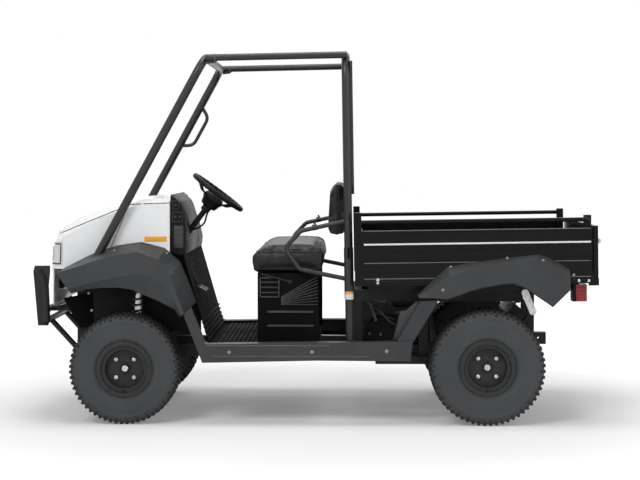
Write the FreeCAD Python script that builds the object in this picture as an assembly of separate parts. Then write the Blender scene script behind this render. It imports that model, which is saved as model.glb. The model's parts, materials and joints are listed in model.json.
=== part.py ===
import FreeCAD, Part
import math
import os

# Side by side utility vehicle with an open cab, a bench seat, a tubular cage and a tipping cargo bed.
# X points forward, Y to the vehicle's left and Z up. The origin is on the floor under the middle.
V = FreeCAD.Vector

# Overall
BODY_HALF_WIDTH = 740.0

# Axles
FRONT_AXLE_X = 970.0
WHEELBASE = 1870.0
REAR_AXLE_X = FRONT_AXLE_X - WHEELBASE


def shifted(base, reaches):
    """Places given by how far each stands from the base."""
    return tuple(base + reach for reach in reaches)


# Clearances and common wall sizes
SEAT_GAP = 0.3
PIN_GAP = 0.3
MOVING_GAP = 6.0
OVERRUN = 20.0
PLASTIC_WALL = 5.0
SHEET_WALL = 3.0

# Tyres
FRONT_TYRE_RADIUS = 284.0
REAR_TYRE_RADIUS = 296.0
FRONT_TYRE_WIDTH = 230.0
REAR_TYRE_WIDTH = 280.0
FRONT_TRACK = 1160.0
REAR_TRACK = 1180.0
FRONT_HUB_Y = FRONT_TRACK / 2
REAR_HUB_Y = REAR_TRACK / 2
TYRE_WALL = 13.0
LUG_DEPTH = 16.0
LUG_LENGTH = 34.0
LUGS_PER_ROW = 17
LUG_CENTRE_GAP = 9.0
SHOULDER_DROP = 44.0

# Rims, with the tyre's bead on the barrel
RIM_FLANGE_RADIUS = 146.0
RIM_FLANGE_THICK = 6.0
RIM_BEAD_RADIUS = 127.0
RIM_WELL_RADIUS = 112.0
RIM_WALL = 5.0
BEAD_EDGE = 15.0
BEAD_THICK = 14.0
WELL_HALF_WIDTH = 50.0
WELL_SLOPE = 12.0
DISH_RADIUS = 96.0
DISH_LIP_DROP = 16.0
DISH_FLOOR_DROP = 62.0
HUB_CAP_RADIUS = 22.0
HUB_CAP_HEIGHT = 20.0
NUT_CIRCLE_RADIUS = 66.0
NUT_COUNT = 4
NUT_RADIUS = 10.0
NUT_HEIGHT = 14.0
VALVE_HOLE_RADIUS = 5.0
VALVE_CIRCLE_RADIUS = 88.0
HUB_RADIUS = 36.0
HUB_LENGTH = 56.0
STUB_RADIUS = 16.0
STUB_END_GAP = 6.0

# Front suspension and steering
BALL_JOINT_INSET = 110.0
STRUT_TOP_INSET = 185.0
STRUT_FOOT_INSET = 152.0
STRUT_HEAD_INSET = 183.0
BALL_JOINT = (950.0, FRONT_HUB_Y - BALL_JOINT_INSET, 205.0)
STRUT_TOP = (918.0, FRONT_HUB_Y - STRUT_TOP_INSET, 700.0)
STRUT_FOOT = (936.0, FRONT_HUB_Y - STRUT_FOOT_INSET, 320.0)
STRUT_HEAD = (920.0, FRONT_HUB_Y - STRUT_HEAD_INSET, 682.0)
STRUT_RADIUS = 24.0
SPRING_RADIUS = 42.0
SPRING_GROOVE = 10.0
SPRING_TURNS = 6
SPRING_SHARE = 0.42
STRUT_ROD_RADIUS = 8.0
UPRIGHT_RADIUS = 30.0
UPRIGHT_SHARE = 0.28
KNUCKLE_BOSS_RADIUS = 44.0
KNUCKLE_BOSS_REACH = (-128.0, -88.0)
KNUCKLE_BOSS_Y = shifted(FRONT_HUB_Y, KNUCKLE_BOSS_REACH)
BALL_PIN_RADIUS = 8.0
BALL_BOSS_RADIUS = 20.0
BALL_BOSS_SHARES = (-0.025, 0.03)
BALL_LUG_SHARES = (0.075, 0.16)
BALL_PIN_SHARES = (-0.03, 0.10)
STRUT_ROD_SHARES = (0.95, 1.02)
STEER_ARM_LENGTH = 145.0
STEER_ARM_INSET = 140.0
STEER_ARM_Y = FRONT_HUB_Y - STEER_ARM_INSET
STEER_ARM_RADIUS = 11.0
RACK_Z = 262.0
RACK_RADIUS = 12.0
TIE_ROD_RADIUS = 9.0
TIE_BALL_RADIUS = 16.0
TIE_END_GAP = 1.2
SHACKLE_BOLT_RADIUS = 12.0
RACK_HOUSING_RADIUS = 22.0
RACK_HOUSING_HALF = 170.0
RACK_HALF = 245.0
ARM_PIVOT_Y = 215.0
ARM_PIVOT_Z = 262.0
ARM_PIVOT_REACH = 90.0
ARM_RADIUS = 14.0
ARM_BUSH_RADIUS = 20.0
ARM_BUSH_LENGTH = 60.0
ARM_BRACKET_THICK = 6.0
ARM_BRACKET_Y = (195.0, 250.0)
DRUM_RADIUS = 88.0
FRONT_DRUM_REACH = (-82.0, -18.0)
REAR_DRUM_REACH = (-150.0, 6.0)
FRONT_DRUM_Y = shifted(FRONT_HUB_Y, FRONT_DRUM_REACH)
REAR_DRUM_Y = shifted(REAR_HUB_Y, REAR_DRUM_REACH)
RACK_PAD_WIDTH = 30.0
RACK_PAD_Y = 120.0

# Rear axle, springs and drive
AXLE_TUBE_RADIUS = 32.0
AXLE_TUBE_HALF = REAR_DRUM_Y[0]
AXLE_CASE_REACH = (-130.0, 110.0)
AXLE_CASE_X = shifted(REAR_AXLE_X, AXLE_CASE_REACH)
AXLE_CASE_Y = (-130.0, 130.0)
AXLE_CASE_Z = (196.0, 420.0)
AXLE_CASE_CORNER = 40.0
LEAF_INSET = 185.0
LEAF_Y = REAR_HUB_Y - LEAF_INSET
LEAF_WIDTH = 44.0
LEAF_THICK = 18.0
LEAF_EYE_RADIUS = 20.0
LEAF_FRONT_REACH = 365.0
LEAF_REAR_REACH = 257.0
SHACKLE_REACH = 216.0
LEAF_FRONT = (REAR_AXLE_X + LEAF_FRONT_REACH, 300.0)
LEAF_SEAT_Z = 342.0
LEAF_SEAT_HALF = 70.0
LEAF_REAR = (REAR_AXLE_X - LEAF_REAR_REACH, 556.0)
SHACKLE_TOP = (REAR_AXLE_X - SHACKLE_REACH, 664.0)
SHACKLE_RADIUS = 19.0
SHACKLE_THICK = 8.0
ENGINE_CLEARANCE = 170.0
ENGINE_X = (AXLE_CASE_X[1] + ENGINE_CLEARANCE, -225.3)
ENGINE_Y = (-190.0, 150.0)
ENGINE_Z = (285.0, 590.0)
BELT_COVER_INSETS = (10.0, -54.7)
BELT_COVER_X = (ENGINE_X[0] + BELT_COVER_INSETS[0], ENGINE_X[1] + BELT_COVER_INSETS[1])
BELT_COVER_Y = (150.3, 220.0)
BELT_COVER_Z = (300.0, 520.0)
BELT_COVER_CORNER_SHARE = 0.409
MUFFLER_Z = 505.0
MUFFLER_RADIUS = 62.0
MUFFLER_Y = (-300.0, 210.0)
RADIATOR_X = (1172.0, 1219.7)
RADIATOR_Y = (-250.0, 250.0)
RADIATOR_Z = (450.0, 670.0)

# Main frame
RAIL_WIDTH = 50.0
LOWER_RAIL_Y = 250.0
LOWER_RAIL_Z = (310.0, 370.0)
LOWER_RAIL_REACH = 300.0
LOWER_RAIL_X = (REAR_AXLE_X + LOWER_RAIL_REACH, 1270.0)
CROSS_WIDTH = 50.0
CROSS_Z = (334.0, 384.0)
CROSS_HALF = 690.0
CROSS_XS = (515.0, 120.0, -200.0)
UPPER_RAIL_Y = 340.0
UPPER_RAIL_REACH = 270.0
UPPER_RAIL_X = (REAR_AXLE_X - UPPER_RAIL_REACH, -205.0)
UPPER_RAIL_Z = (612.0, 672.0)
REAR_STATION_REACHES = (315.0, 160.0, -240.0)
REAR_STATIONS = shifted(REAR_AXLE_X, REAR_STATION_REACHES)
REAR_UPRIGHT_XS = (-232.0, REAR_STATIONS[0])
REAR_CROSS_XS = (-232.0, REAR_STATIONS[1], REAR_STATIONS[2])
SPRING_HANGER_REACH = (310.0, 570.0)
SPRING_HANGER_X = shifted(REAR_AXLE_X, SPRING_HANGER_REACH)
SPRING_HANGER_Z = (280.0, 326.0)
SPRING_HANGER_Y = (275.0, LEAF_Y - LEAF_WIDTH / 2 - SEAT_GAP)
TOWER_X = (880.0, 960.0)
TOWER_REACH = (-250.0, -150.0)
TOWER_Y = shifted(FRONT_HUB_Y, TOWER_REACH)
TOWER_THICK = 8.0
TOWER_BASE_Z = 300.0
TOWER_LEG_Y = (226.0, 266.0)
NOSE_UPRIGHT_XS = (1245.0,)
NOSE_UPRIGHT_TOP = 760.0
FRAME_BRACE_RADIUS = 16.0
CAGE_ARM_RADIUS = 13.0
HITCH_REACH = (-370.0, -290.0)
HITCH_X = shifted(REAR_AXLE_X, HITCH_REACH)
HITCH_HALF = 32.0
HITCH_Z = (352.0, 416.0)
HITCH_WALL = 6.0
HITCH_PIN_RADIUS = 8.0
HITCH_DROP_REACH = (-290.0, -250.0)
HITCH_DROP_X = shifted(REAR_AXLE_X, HITCH_DROP_REACH)
HITCH_DROP_HALF = 150.0

# Front guard
GUARD_OUTLINE_X = 1402.0
GUARD_DEPTH = 88.0
GUARD_BASE_Z = 479.0
GUARD_HEIGHT = 325.0
GUARD_TUBE_RADIUS = 26.0
GUARD_HALF_WIDTH = 400.0
GUARD_BEND = 70.0
GUARD_UPRIGHT_RADIUS = 17.0
GUARD_STAY_RADIUS = 15.0
GUARD_PAD_THICK = 8.0
GUARD_STAY_HALF = 25.0
GUARD_STAY_TOP_Z = 565.0
GUARD_STAY_LOW_Z = 340.0
GUARD_PLATE_THICK = 4.0

# Nose: hood, front face and the side panels behind the cage's legs
NOSE_X = 743.0
NOSE_LENGTH = 632.0
NOSE_BASE_Z = 600.0
NOSE_HEIGHT = 590.0
NOSE_HALF_WIDTH = 575.0
# along the length, then half widths of base, belt and shoulder, then heights of belt, shoulder and crown
NOSE_SECTION_SHARES = (
    (0.00, 0.99, 0.985, 0.87, 0.905, 0.955, 0.98),
    (0.27, 0.985, 0.98, 0.86, 0.89, 0.94, 0.955),
    (0.59, 0.96, 0.95, 0.83, 0.78, 0.847, 0.87),
    (0.75, 0.93, 0.92, 0.79, 0.695, 0.783, 0.815),
    (0.89, 0.88, 0.87, 0.74, 0.61, 0.70, 0.737),
    (0.96, 0.83, 0.82, 0.68, 0.555, 0.627, 0.66),
    (1.00, 0.77, 0.76, 0.60, 0.49, 0.55, 0.585),
)
HOOD_SEAM = ((743.0, 1137.0), (948.0, 1128.0), (1375.0, 948.0))
HOOD_GAP = 5.0
HOOD_HINGE = (1370.0, 972.0)
HOOD_EYE_RADIUS = 7.0
HOOD_PIN_RADIUS = 3.5
HOOD_EYE_Y = (170.0, 200.0)
HOOD_EAR_Y = ((150.0, 164.0), (206.0, 220.0))
HOOD_EAR_ROOT = 22.0
FACE_EAR_ROOT = 13.0
HOOD_EAR_RISE = 10.0
FACE_EAR_DROP = 19.0
HOOD_EAR_THICK = 8.0
SIDE_SEAM_TOP = (948.0, 1150.0)
SIDE_SEAM_FOOT = (1075.0, 850.0)
GRILLE_Y = 250.0
GRILLE_Z = (672.0, 800.0)
GRILLE_BARS = 5
GRILLE_BAR = 9.0
GRILLE_DEPTH = 22.0
LAMP_Y = (330.0, 520.0)
LAMP_Z = (809.0, 932.0)
LAMP_DEPTH = 64.0

# Front fenders: angle round the hub, reach of the top edge, crease, lip and skirt, then the top edge's half width
FENDER_REACH = 650.0
FENDER_STATION_SHARES = (
    (56.0, 0.94, 0.93, 0.77, 0.73, 0.87),
    (66.0, 0.935, 0.895, 0.745, 0.70, 0.92),
    (76.0, 0.955, 0.893, 0.732, 0.67, 0.955),
    (86.0, 0.977, 0.91, 0.738, 0.655, 0.975),
    (97.0, 1.01, 0.945, 0.772, 0.64, 0.99),
    (108.0, 1.004, 0.923, 0.772, 0.615, 1.0),
    (117.0, 0.95, 0.82, 0.748, 0.614, 1.0),
    (124.0, 0.87, 0.752, 0.706, 0.617, 1.0),
    (130.0, 0.815, 0.70, 0.665, 0.628, 1.0),
    (137.0, 0.765, 0.66, 0.632, 0.61, 1.0),
)
FENDER_TOP_Y = 562.0
FENDER_NOSE_Y = 440.0
FENDER_CREASE_Y = 733.0
FENDER_LIP_Y = BODY_HALF_WIDTH
FENDER_SKIRT_Y = 708.0
FENDER_LEG_HOLE = 27.0

# Rear fenders, carried by the bed
REAR_FENDER_REACH = 660.0
REAR_FENDER_STATION_SHARES = (
    (46.0, 0.785, 0.785, 0.765, 0.76, 1.0),
    (52.0, 0.79, 0.77, 0.697, 0.69, 1.0),
    (60.0, 0.808, 0.768, 0.626, 0.62, 1.0),
    (68.0, 0.844, 0.78, 0.617, 0.61, 1.0),
    (78.0, 0.829, 0.785, 0.624, 0.617, 1.0),
    (88.0, 0.832, 0.795, 0.638, 0.63, 1.0),
    (98.0, 0.861, 0.826, 0.664, 0.655, 1.0),
    (106.0, 0.903, 0.864, 0.694, 0.685, 1.0),
    (114.0, 0.967, 0.923, 0.694, 0.685, 1.0),
    (119.0, 0.982, 0.951, 0.685, 0.68, 1.0),
    (124.0, 0.986, 0.956, 0.68, 0.675, 1.0),
    (130.0, 1.0, 0.973, 0.683, 0.68, 1.0),
    (136.0, 0.90, 0.883, 0.691, 0.69, 1.0),
)
REAR_FENDER_TOP_Y = 663.3
REAR_FENDER_CREASE_Y = 732.0
REAR_FENDER_LIP_Y = BODY_HALF_WIDTH
REAR_FENDER_SKIRT_Y = 732.0

# Sills with the cover of each front leg, and the covers of the rear legs
SILL_REACH = 384.0
SILL_X = (REAR_AXLE_X + SILL_REACH, 684.0)
SILL_Z = (323.0, 632.0)
SILL_OUTLINE_SHARES = (
    (1.00, 1.00), (0.92, 0.21), (0.90, 0.00), (0.41, 0.04), (0.01, 0.03), (0.00, 0.37),
    (0.18, 0.34), (0.41, 0.34), (0.88, 0.31), (0.89, 0.33), (0.96, 1.00),
)
SILL_Y = (640.0, 722.0)
REAR_LEG_REACH = (251.0, 468.0)
REAR_LEG_X = shifted(REAR_AXLE_X, REAR_LEG_REACH)
REAR_LEG_Z = (428.0, 648.0)
REAR_LEG_SHARES = ((1.00, 0.00), (0.43, 0.97), (0.00, 1.00), (0.61, 0.00))
REAR_LEG_Y = (640.0, 716.0)
FLAP_X = (1171.0, 1336.0)
FLAP_Z = (464.0, 656.0)
FLAP_SHARES = ((1.00, 0.83), (0.07, 1.00), (0.00, 0.08), (0.47, 0.00), (0.74, 0.38))
FLAP_Y = 320.0
FLAP_TAB_X = (1225.0, 1265.0)
FLAP_TAB_Z = (540.0, 600.0)

# Floor and toe board
FLOOR_Z = 404.0
FLOOR_X = (-35.0, 536.0)
FLOOR_HALF = 639.7
TOE_TOP = (672.0, 874.0)
TOE_HALF = 560.0

# Dash, steering column and steering wheel
DASH_X = (583.0, 736.0)
DASH_Z = (858.0, 1189.0)
DASH_HALF = 556.0
DASH_SHARES = (
    (1.00, 0.94), (0.60, 1.00), (0.50, 0.94), (0.20, 0.78), (0.00, 0.44),
    (0.00, 0.18), (0.17, 0.13), (0.57, 0.05), (0.97, 0.09),
)
DRIVER_Y = 300.0
WHEEL_CENTRE = (510.0, 1189.0)
COLUMN_FOOT = (704.0, 930.0)
WHEEL_RING_RADIUS = 150.0
WHEEL_GRIP_RADIUS = 12.0
WHEEL_SPOKES = 3
WHEEL_SPOKE_RADIUS = 9.0
WHEEL_HUB_RADIUS = 44.0
WHEEL_HUB_DROP = 34.0
COLUMN_HEAD_SHARE = 0.13
COLUMN_HEAD_RADIUS = 40.0
COLUMN_COVER_SHARE = 0.42
COLUMN_RADIUS = 19.0
WHEEL_SHAFT_RADIUS = 10.0

# Seat
SEAT_BASE_X = (-35.0, 287.0)
SEAT_BASE_TOP = 773.7
SEAT_BASE_HALF = 556.0
SEAT_X = (-60.0, 324.0)
SEAT_Z = (774.0, 966.0)
SEAT_SHARES = (
    (1.00, 0.62), (0.97, 0.03), (0.03, 0.00), (0.00, 0.66), (0.02, 0.95), (0.31, 1.00), (0.77, 0.96), (0.89, 0.85),
)
SEAT_HALF = 565.0
BACK_X = (-165.0, -88.0)
BACK_Z = (970.0, 1244.0)
BACK_SHARES = ((1.00, 0.00), (1.00, 0.22), (0.87, 0.85), (0.58, 1.00), (0.10, 1.00), (0.00, 0.00))
BACK_Y = (12.0, 556.0)

# Cage
CAGE_RADIUS = 22.0
CAGE_Y = 600.0
CAGE_FOOT = (1103.0, 887.0)
CAGE_ROOT = (1181.6, 735.3)
CAGE_ROOT_SHARE = 1.02
CAGE_BROW = (585.0, 1888.0)
CAGE_ROOF_END = (-178.0, 1904.0)
CAGE_BEND = 110.0
POST_TOP = (-170.0, 1906.0)
POST_FOOT = (-194.7, 384.3)
POST_BEND = 90.0
POST_RING_SHARE = 0.43
POST_RING_RADIUS = 27.0
POST_RING_LENGTH = 70.0
BACK_BAR_Z = 1180.0
SCREEN_Z = (1186.0, 1873.0)
SCREEN_THICK = 12.0
SCREEN_HALF = 604.0
SCREEN_FRAME = 45.0
GRAB_SHARES = (0.17, 0.46)
GRAB_RADIUS = 10.0
GRAB_OFFSET = 62.0
GUARD_RAIL_RADIUS = 12.0
HIP_TOP = (-184.0, 1049.0)
HIP_TOP_FRONT = (60.0, 996.0)
HIP_NOSE = (146.0, 905.0)
HIP_LOW_FRONT = (66.0, 796.0)
HIP_LOW = (-189.0, 745.0)
HIP_BEND = 45.0

# Cargo bed in its level pose; the whole bed leans by the vehicle's rake
RAKE_DEGREES = 0.83
TILT_HINGE_REACH = 246.0
TILT_HINGE = (REAR_AXLE_X - TILT_HINGE_REACH, 698.0)
TILT_PIN_RADIUS = 10.0
TILT_LUG_RADIUS = 22.0
TILT_LUG_THICK = 14.0
TILT_LUG_Y = 300.0
BED_REACH = 540.0
BED_X = (REAR_AXLE_X - BED_REACH, -258.0)
BED_HALF = 660.0
BED_FLOOR_Z = 735.0
BED_BASE_Z = 726.0
BED_PLATE_INSETS = (60.0, 20.0)
BED_PLATE_MARGIN = 72.0
BED_PLATE_RISE = 2.0
BED_PANEL_TOP = 1010.0
BED_LEDGE_Z = 944.0
BED_LEDGE_OUT = 10.0
BED_GROOVE_SHARES = (0.33, 0.62)
BED_GROOVE = 8.0
BED_POST_X = 38.0
BED_POST_Y = 40.0
BED_FRONT_POST_TOP = 1104.0
BED_REAR_POST_TOP = 1076.0
BED_RAIL_Z = 1054.0
BED_RAIL_RADIUS = 11.0
BED_RAIL_Y = 643.0
BED_RAIL_BEND = 18.0
BED_REAR_POST_Y = (592.0, 622.0)
BED_BEAM_Z = (676.0, 726.0)
BED_BEAM_Y = 395.0
BED_BEAM_INSETS = (40.0, 32.0)
BED_BEAM_X = (BED_X[0] + BED_BEAM_INSETS[0], BED_X[1] - BED_BEAM_INSETS[1])
TAILGATE_THICK = 24.0
TAILGATE_GAP = 9.0
TAILGATE_X = BED_X[0] - TAILGATE_GAP
TAILGATE_BASE_Z = 722.0
TAILGATE_HINGE_DEPTH = 13.0
TAILGATE_HINGE = (TAILGATE_X - TAILGATE_HINGE_DEPTH, 732.0)
TAILGATE_PIN_RADIUS = 6.0
TAILGATE_PIN_DEPTH = 40.0
TAILGATE_EAR_Z = (714.0, 750.0)
TAILGATE_EAR_THICK = 12.0
TAILGATE_RIB_SHARES = (0.0, 0.33, 0.66, 1.0)
TAILGATE_RIB = 10.0
LAMP_BRACKET_REACH = (78.0, 95.0)
TAIL_LAMP_REACH = (22.0, 77.7)
LAMP_BRACKET_X = shifted(BED_X[0], LAMP_BRACKET_REACH)
TAIL_LAMP_X = shifted(BED_X[0], TAIL_LAMP_REACH)
TAIL_LAMP_Y = (500.0, 600.0)
TAIL_LAMP_Z = (628.0, 716.0)


# Basic shapes
def box(x, y, z):
    return Part.makeBox(x[1] - x[0], y[1] - y[0], z[1] - z[0], V(x[0], y[0], z[0]))


def spread(half):
    return (-half, half)


def around(centre, width):
    return (centre - width / 2, centre + width / 2)


def rod(start, end, radius):
    line = V(*end) - V(*start)
    return Part.makeCylinder(radius, line.Length, V(*start), line)


def polygon(points):
    vectors = [V(*p) for p in points]
    return Part.makePolygon(vectors + vectors[:1])


def side_plate(points, y):
    face = Part.Face(polygon([(px, y[0], pz) for px, pz in points]))
    return face.extrude(V(0, y[1] - y[0], 0))


def share_points(shares, x, z):
    return [(x[0] + u * (x[1] - x[0]), z[0] + w * (z[1] - z[0])) for u, w in shares]


def spun(profile, centre):
    """A profile of (radius, y) pairs turned about the line through centre along Y."""
    face = Part.Face(polygon([(r, y, 0) for r, y in profile]))
    ring = face.revolve(V(0, 0, 0), V(0, 1, 0), 360)
    ring.translate(V(*centre))
    return ring


def joined(shapes):
    whole = shapes[0].multiFuse(shapes[1:]) if len(shapes) > 1 else shapes[0]
    return whole.removeSplitter()


def mirrored(shape):
    return shape.mirror(V(0, 0, 0), V(0, 1, 0))


def both_sides(shape):
    return [shape, mirrored(shape)]


def bent_pipe(points, radius, bend):
    """A round bar along a line of points, each inner corner rounded by the bend radius."""
    spots = [V(*p) for p in points]
    edges = []
    start = spots[0]
    for before, corner, after in zip(spots, spots[1:], spots[2:]):
        into = (corner - before).normalize()
        out = (after - corner).normalize()
        turn = into.getAngle(out)
        reach = bend * math.tan(turn / 2)
        first = corner - into * reach
        last = corner + out * reach
        middle = corner + (out - into).normalize() * (bend / math.cos(turn / 2) - bend)
        edges.append(Part.makeLine(start, first))
        edges.append(Part.Arc(first, middle, last).toShape())
        start = last
    edges.append(Part.makeLine(start, spots[-1]))
    path = Part.Wire(edges)
    heading = (spots[1] - spots[0]).normalize()
    ring = Part.Wire(Part.makeCircle(radius, spots[0], heading))
    return path.makePipeShell([ring], True, False)


# Wheels
def tyre(centre, radius, width, side):
    half = width / 2
    tread = radius - LUG_DEPTH
    bead = RIM_BEAD_RADIUS + SEAT_GAP
    edge = half - BEAD_EDGE
    belly = (bead + tread) / 2
    shoulder = tread - LUG_DEPTH
    outer = [(bead, edge), (RIM_FLANGE_RADIUS + SEAT_GAP, edge), (RIM_FLANGE_RADIUS + BEAD_THICK, half - SHEET_WALL), (belly, half),
             (shoulder, half - BEAD_THICK), (tread, half - SHOULDER_DROP)]
    inner = [(bead, edge - BEAD_THICK), (belly, half - TYRE_WALL), (tread - TYRE_WALL, half - SHOULDER_DROP - TYRE_WALL)]
    profile = outer + [(r, -y) for r, y in reversed(outer)] + [(r, -y) for r, y in inner]
    profile += [(r, y) for r, y in reversed(inner)]
    carcass = spun(profile, (0, 0, 0))
    lugs = []
    pitch = 360 / LUGS_PER_ROW
    for row, sense in enumerate((1, -1)):
        pts = [(LUG_CENTRE_GAP, tread - LUG_DEPTH / 2), (LUG_CENTRE_GAP, radius), (half - SHOULDER_DROP, radius),
               (half - LUG_DEPTH / 2, radius - LUG_DEPTH), (half, radius - SHOULDER_DROP),
               (half - LUG_DEPTH, radius - SHOULDER_DROP)]
        face = Part.Face(polygon([(-LUG_LENGTH / 2, sense * y, -r) for y, r in pts]))
        lug = face.extrude(V(LUG_LENGTH, 0, 0))
        for number in range(LUGS_PER_ROW):
            copy = lug.copy()
            copy.rotate(V(0, 0, 0), V(0, 1, 0), pitch * (number + row / 2))
            lugs.append(copy)
    whole = joined([carcass] + lugs)
    whole.translate(V(*centre))
    return whole


def rim(centre, width, side):
    half = width / 2
    bead = half - BEAD_EDGE + SEAT_GAP
    flange = bead + RIM_FLANGE_THICK
    well = RIM_WELL_RADIUS
    skin = [(RIM_FLANGE_RADIUS, flange), (RIM_FLANGE_RADIUS, bead), (RIM_BEAD_RADIUS, bead),
            (RIM_BEAD_RADIUS, WELL_HALF_WIDTH + WELL_SLOPE), (well, WELL_HALF_WIDTH)]
    back = [(well - RIM_WALL, WELL_HALF_WIDTH), (RIM_BEAD_RADIUS - RIM_WALL, WELL_HALF_WIDTH + WELL_SLOPE),
            (RIM_BEAD_RADIUS - RIM_WALL, flange)]
    profile = skin + [(r, -y) for r, y in reversed(skin)] + [(r, -y) for r, y in reversed(back)] + back
    barrel = spun(profile, (0, 0, 0))
    lip = flange - DISH_LIP_DROP
    floor = flange - DISH_FLOOR_DROP
    dish = spun([(RIM_BEAD_RADIUS - RIM_WALL, lip), (DISH_RADIUS + RIM_WALL, lip), (DISH_RADIUS, floor), (0, floor),
                 (0, floor - RIM_WALL), (DISH_RADIUS + RIM_WALL, floor - RIM_WALL),
                 (DISH_RADIUS + RIM_WALL * 2, lip - RIM_WALL), (RIM_BEAD_RADIUS - RIM_WALL, lip - RIM_WALL)],
                (0, 0, 0))
    valve = rod((0, floor - OVERRUN, -VALVE_CIRCLE_RADIUS), (0, floor + OVERRUN, -VALVE_CIRCLE_RADIUS),
                VALVE_HOLE_RADIUS)
    hub = rod((0, floor - HUB_LENGTH, 0), (0, floor, 0), HUB_RADIUS)
    pieces = [barrel, dish.cut(valve), hub, rod((0, floor, 0), (0, floor + HUB_CAP_HEIGHT, 0), HUB_CAP_RADIUS)]
    for number in range(NUT_COUNT):
        turn = math.radians(360 / NUT_COUNT * (number + 0.5))
        spot = (NUT_CIRCLE_RADIUS * math.cos(turn), floor, NUT_CIRCLE_RADIUS * math.sin(turn))
        pieces.append(rod(spot, (spot[0], floor + NUT_HEIGHT, spot[2]), NUT_RADIUS))
    bore = rod((0, floor - HUB_LENGTH - OVERRUN, 0), (0, floor - RIM_WALL, 0), STUB_RADIUS + PIN_GAP)
    whole = joined(pieces).cut(bore)
    if side < 0:
        whole = mirrored(whole)
    whole.translate(V(*centre))
    return whole


def hub_floor(centre_y, width):
    """Where the dish's floor stands along Y, for the left wheel."""
    half = width / 2
    return centre_y + half - BEAD_EDGE + SEAT_GAP + RIM_FLANGE_THICK - DISH_FLOOR_DROP


# Front corner
def along(start, end, share):
    return tuple(a + (b - a) * share for a, b in zip(start, end))


def kingpin(share):
    """A point on the steering axis: share 0 at the ball joint and 1 at the strut's top."""
    return along(BALL_JOINT, STRUT_TOP, share)


def knuckle():
    hub_z = FRONT_TYRE_RADIUS
    floor = hub_floor(FRONT_TRACK / 2, FRONT_TYRE_WIDTH)
    stub = rod((FRONT_AXLE_X, KNUCKLE_BOSS_Y[0], hub_z), (FRONT_AXLE_X, floor - RIM_WALL - STUB_END_GAP, hub_z), STUB_RADIUS)
    boss = rod((FRONT_AXLE_X, KNUCKLE_BOSS_Y[0], hub_z), (FRONT_AXLE_X, KNUCKLE_BOSS_Y[1], hub_z), KNUCKLE_BOSS_RADIUS)
    strut = rod(STRUT_FOOT, STRUT_HEAD, STRUT_RADIUS)
    clamp = rod(STRUT_FOOT, along(STRUT_FOOT, STRUT_HEAD, UPRIGHT_SHARE), UPRIGHT_RADIUS)
    link = rod(STRUT_FOOT, (FRONT_AXLE_X, KNUCKLE_BOSS_Y[0] + STUB_RADIUS, hub_z), STRUT_RADIUS)
    head = rod(kingpin(STRUT_ROD_SHARES[0]), kingpin(STRUT_ROD_SHARES[1]), STRUT_ROD_RADIUS)
    lug = rod(kingpin(BALL_LUG_SHARES[0]), kingpin(BALL_LUG_SHARES[1]), BALL_BOSS_RADIUS)
    pin = rod(kingpin(BALL_PIN_SHARES[0]), kingpin(BALL_PIN_SHARES[1]), BALL_PIN_RADIUS)
    drum = rod((FRONT_AXLE_X, FRONT_DRUM_Y[0], hub_z), (FRONT_AXLE_X, FRONT_DRUM_Y[1], hub_z), DRUM_RADIUS)
    arm_end = (BALL_JOINT[0] - STEER_ARM_LENGTH, STEER_ARM_Y, RACK_Z)
    arm_root = (FRONT_AXLE_X, KNUCKLE_BOSS_Y[0] + STEER_ARM_RADIUS, hub_z)
    arm = rod(arm_root, arm_end, STEER_ARM_RADIUS)
    tie_ball = Part.makeSphere(TIE_BALL_RADIUS, V(*arm_end), V(*arm_root) - V(*arm_end))
    return joined([stub, boss, drum, strut, clamp, link, head, lug, pin, arm, tie_ball])


def strut_spring():
    low = along(STRUT_HEAD, STRUT_FOOT, SPRING_SHARE)
    line = V(*STRUT_HEAD) - V(*low)
    step = line.Length / SPRING_TURNS
    bore = STRUT_RADIUS + SEAT_GAP
    points = [(bore, 0, 0)]
    for turn in range(SPRING_TURNS):
        points.append((SPRING_RADIUS - SPRING_GROOVE, 0, step * turn))
        points.append((SPRING_RADIUS, 0, step * (turn + 0.5)))
    points += [(SPRING_RADIUS - SPRING_GROOVE, 0, line.Length), (bore, 0, line.Length)]
    coil = Part.Face(polygon(points)).revolve(V(0, 0, 0), V(0, 0, 1), 360)
    coil.Placement = FreeCAD.Placement(V(*low), FreeCAD.Rotation(V(0, 0, 1), line))
    return coil


def lower_arms():
    centre = (BALL_JOINT[0], ARM_PIVOT_Y, ARM_PIVOT_Z)
    boss = rod(kingpin(BALL_BOSS_SHARES[0]), kingpin(BALL_BOSS_SHARES[1]), BALL_BOSS_RADIUS)
    pieces = [boss]
    for sense in (1, -1):
        pivot = (centre[0] + sense * ARM_PIVOT_REACH, centre[1], centre[2])
        pieces.append(rod(pivot, BALL_JOINT, ARM_RADIUS))
        pieces.append(rod((pivot[0] - ARM_BUSH_LENGTH / 2, pivot[1], pivot[2]),
                          (pivot[0] + ARM_BUSH_LENGTH / 2, pivot[1], pivot[2]), ARM_BUSH_RADIUS))
    bore = rod(kingpin(-UPRIGHT_SHARE), kingpin(UPRIGHT_SHARE), BALL_PIN_RADIUS + PIN_GAP)
    return joined(pieces).cut(bore)


def tie_rods():
    x = BALL_JOINT[0] - STEER_ARM_LENGTH
    pieces = [rod((x, -RACK_HALF, RACK_Z), (x, RACK_HALF, RACK_Z), RACK_RADIUS)]
    end_y = STEER_ARM_Y - TIE_BALL_RADIUS - TIE_END_GAP
    pieces += both_sides(rod((x, RACK_HALF, RACK_Z), (x, end_y, RACK_Z), TIE_ROD_RADIUS))
    return joined(pieces)


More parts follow.
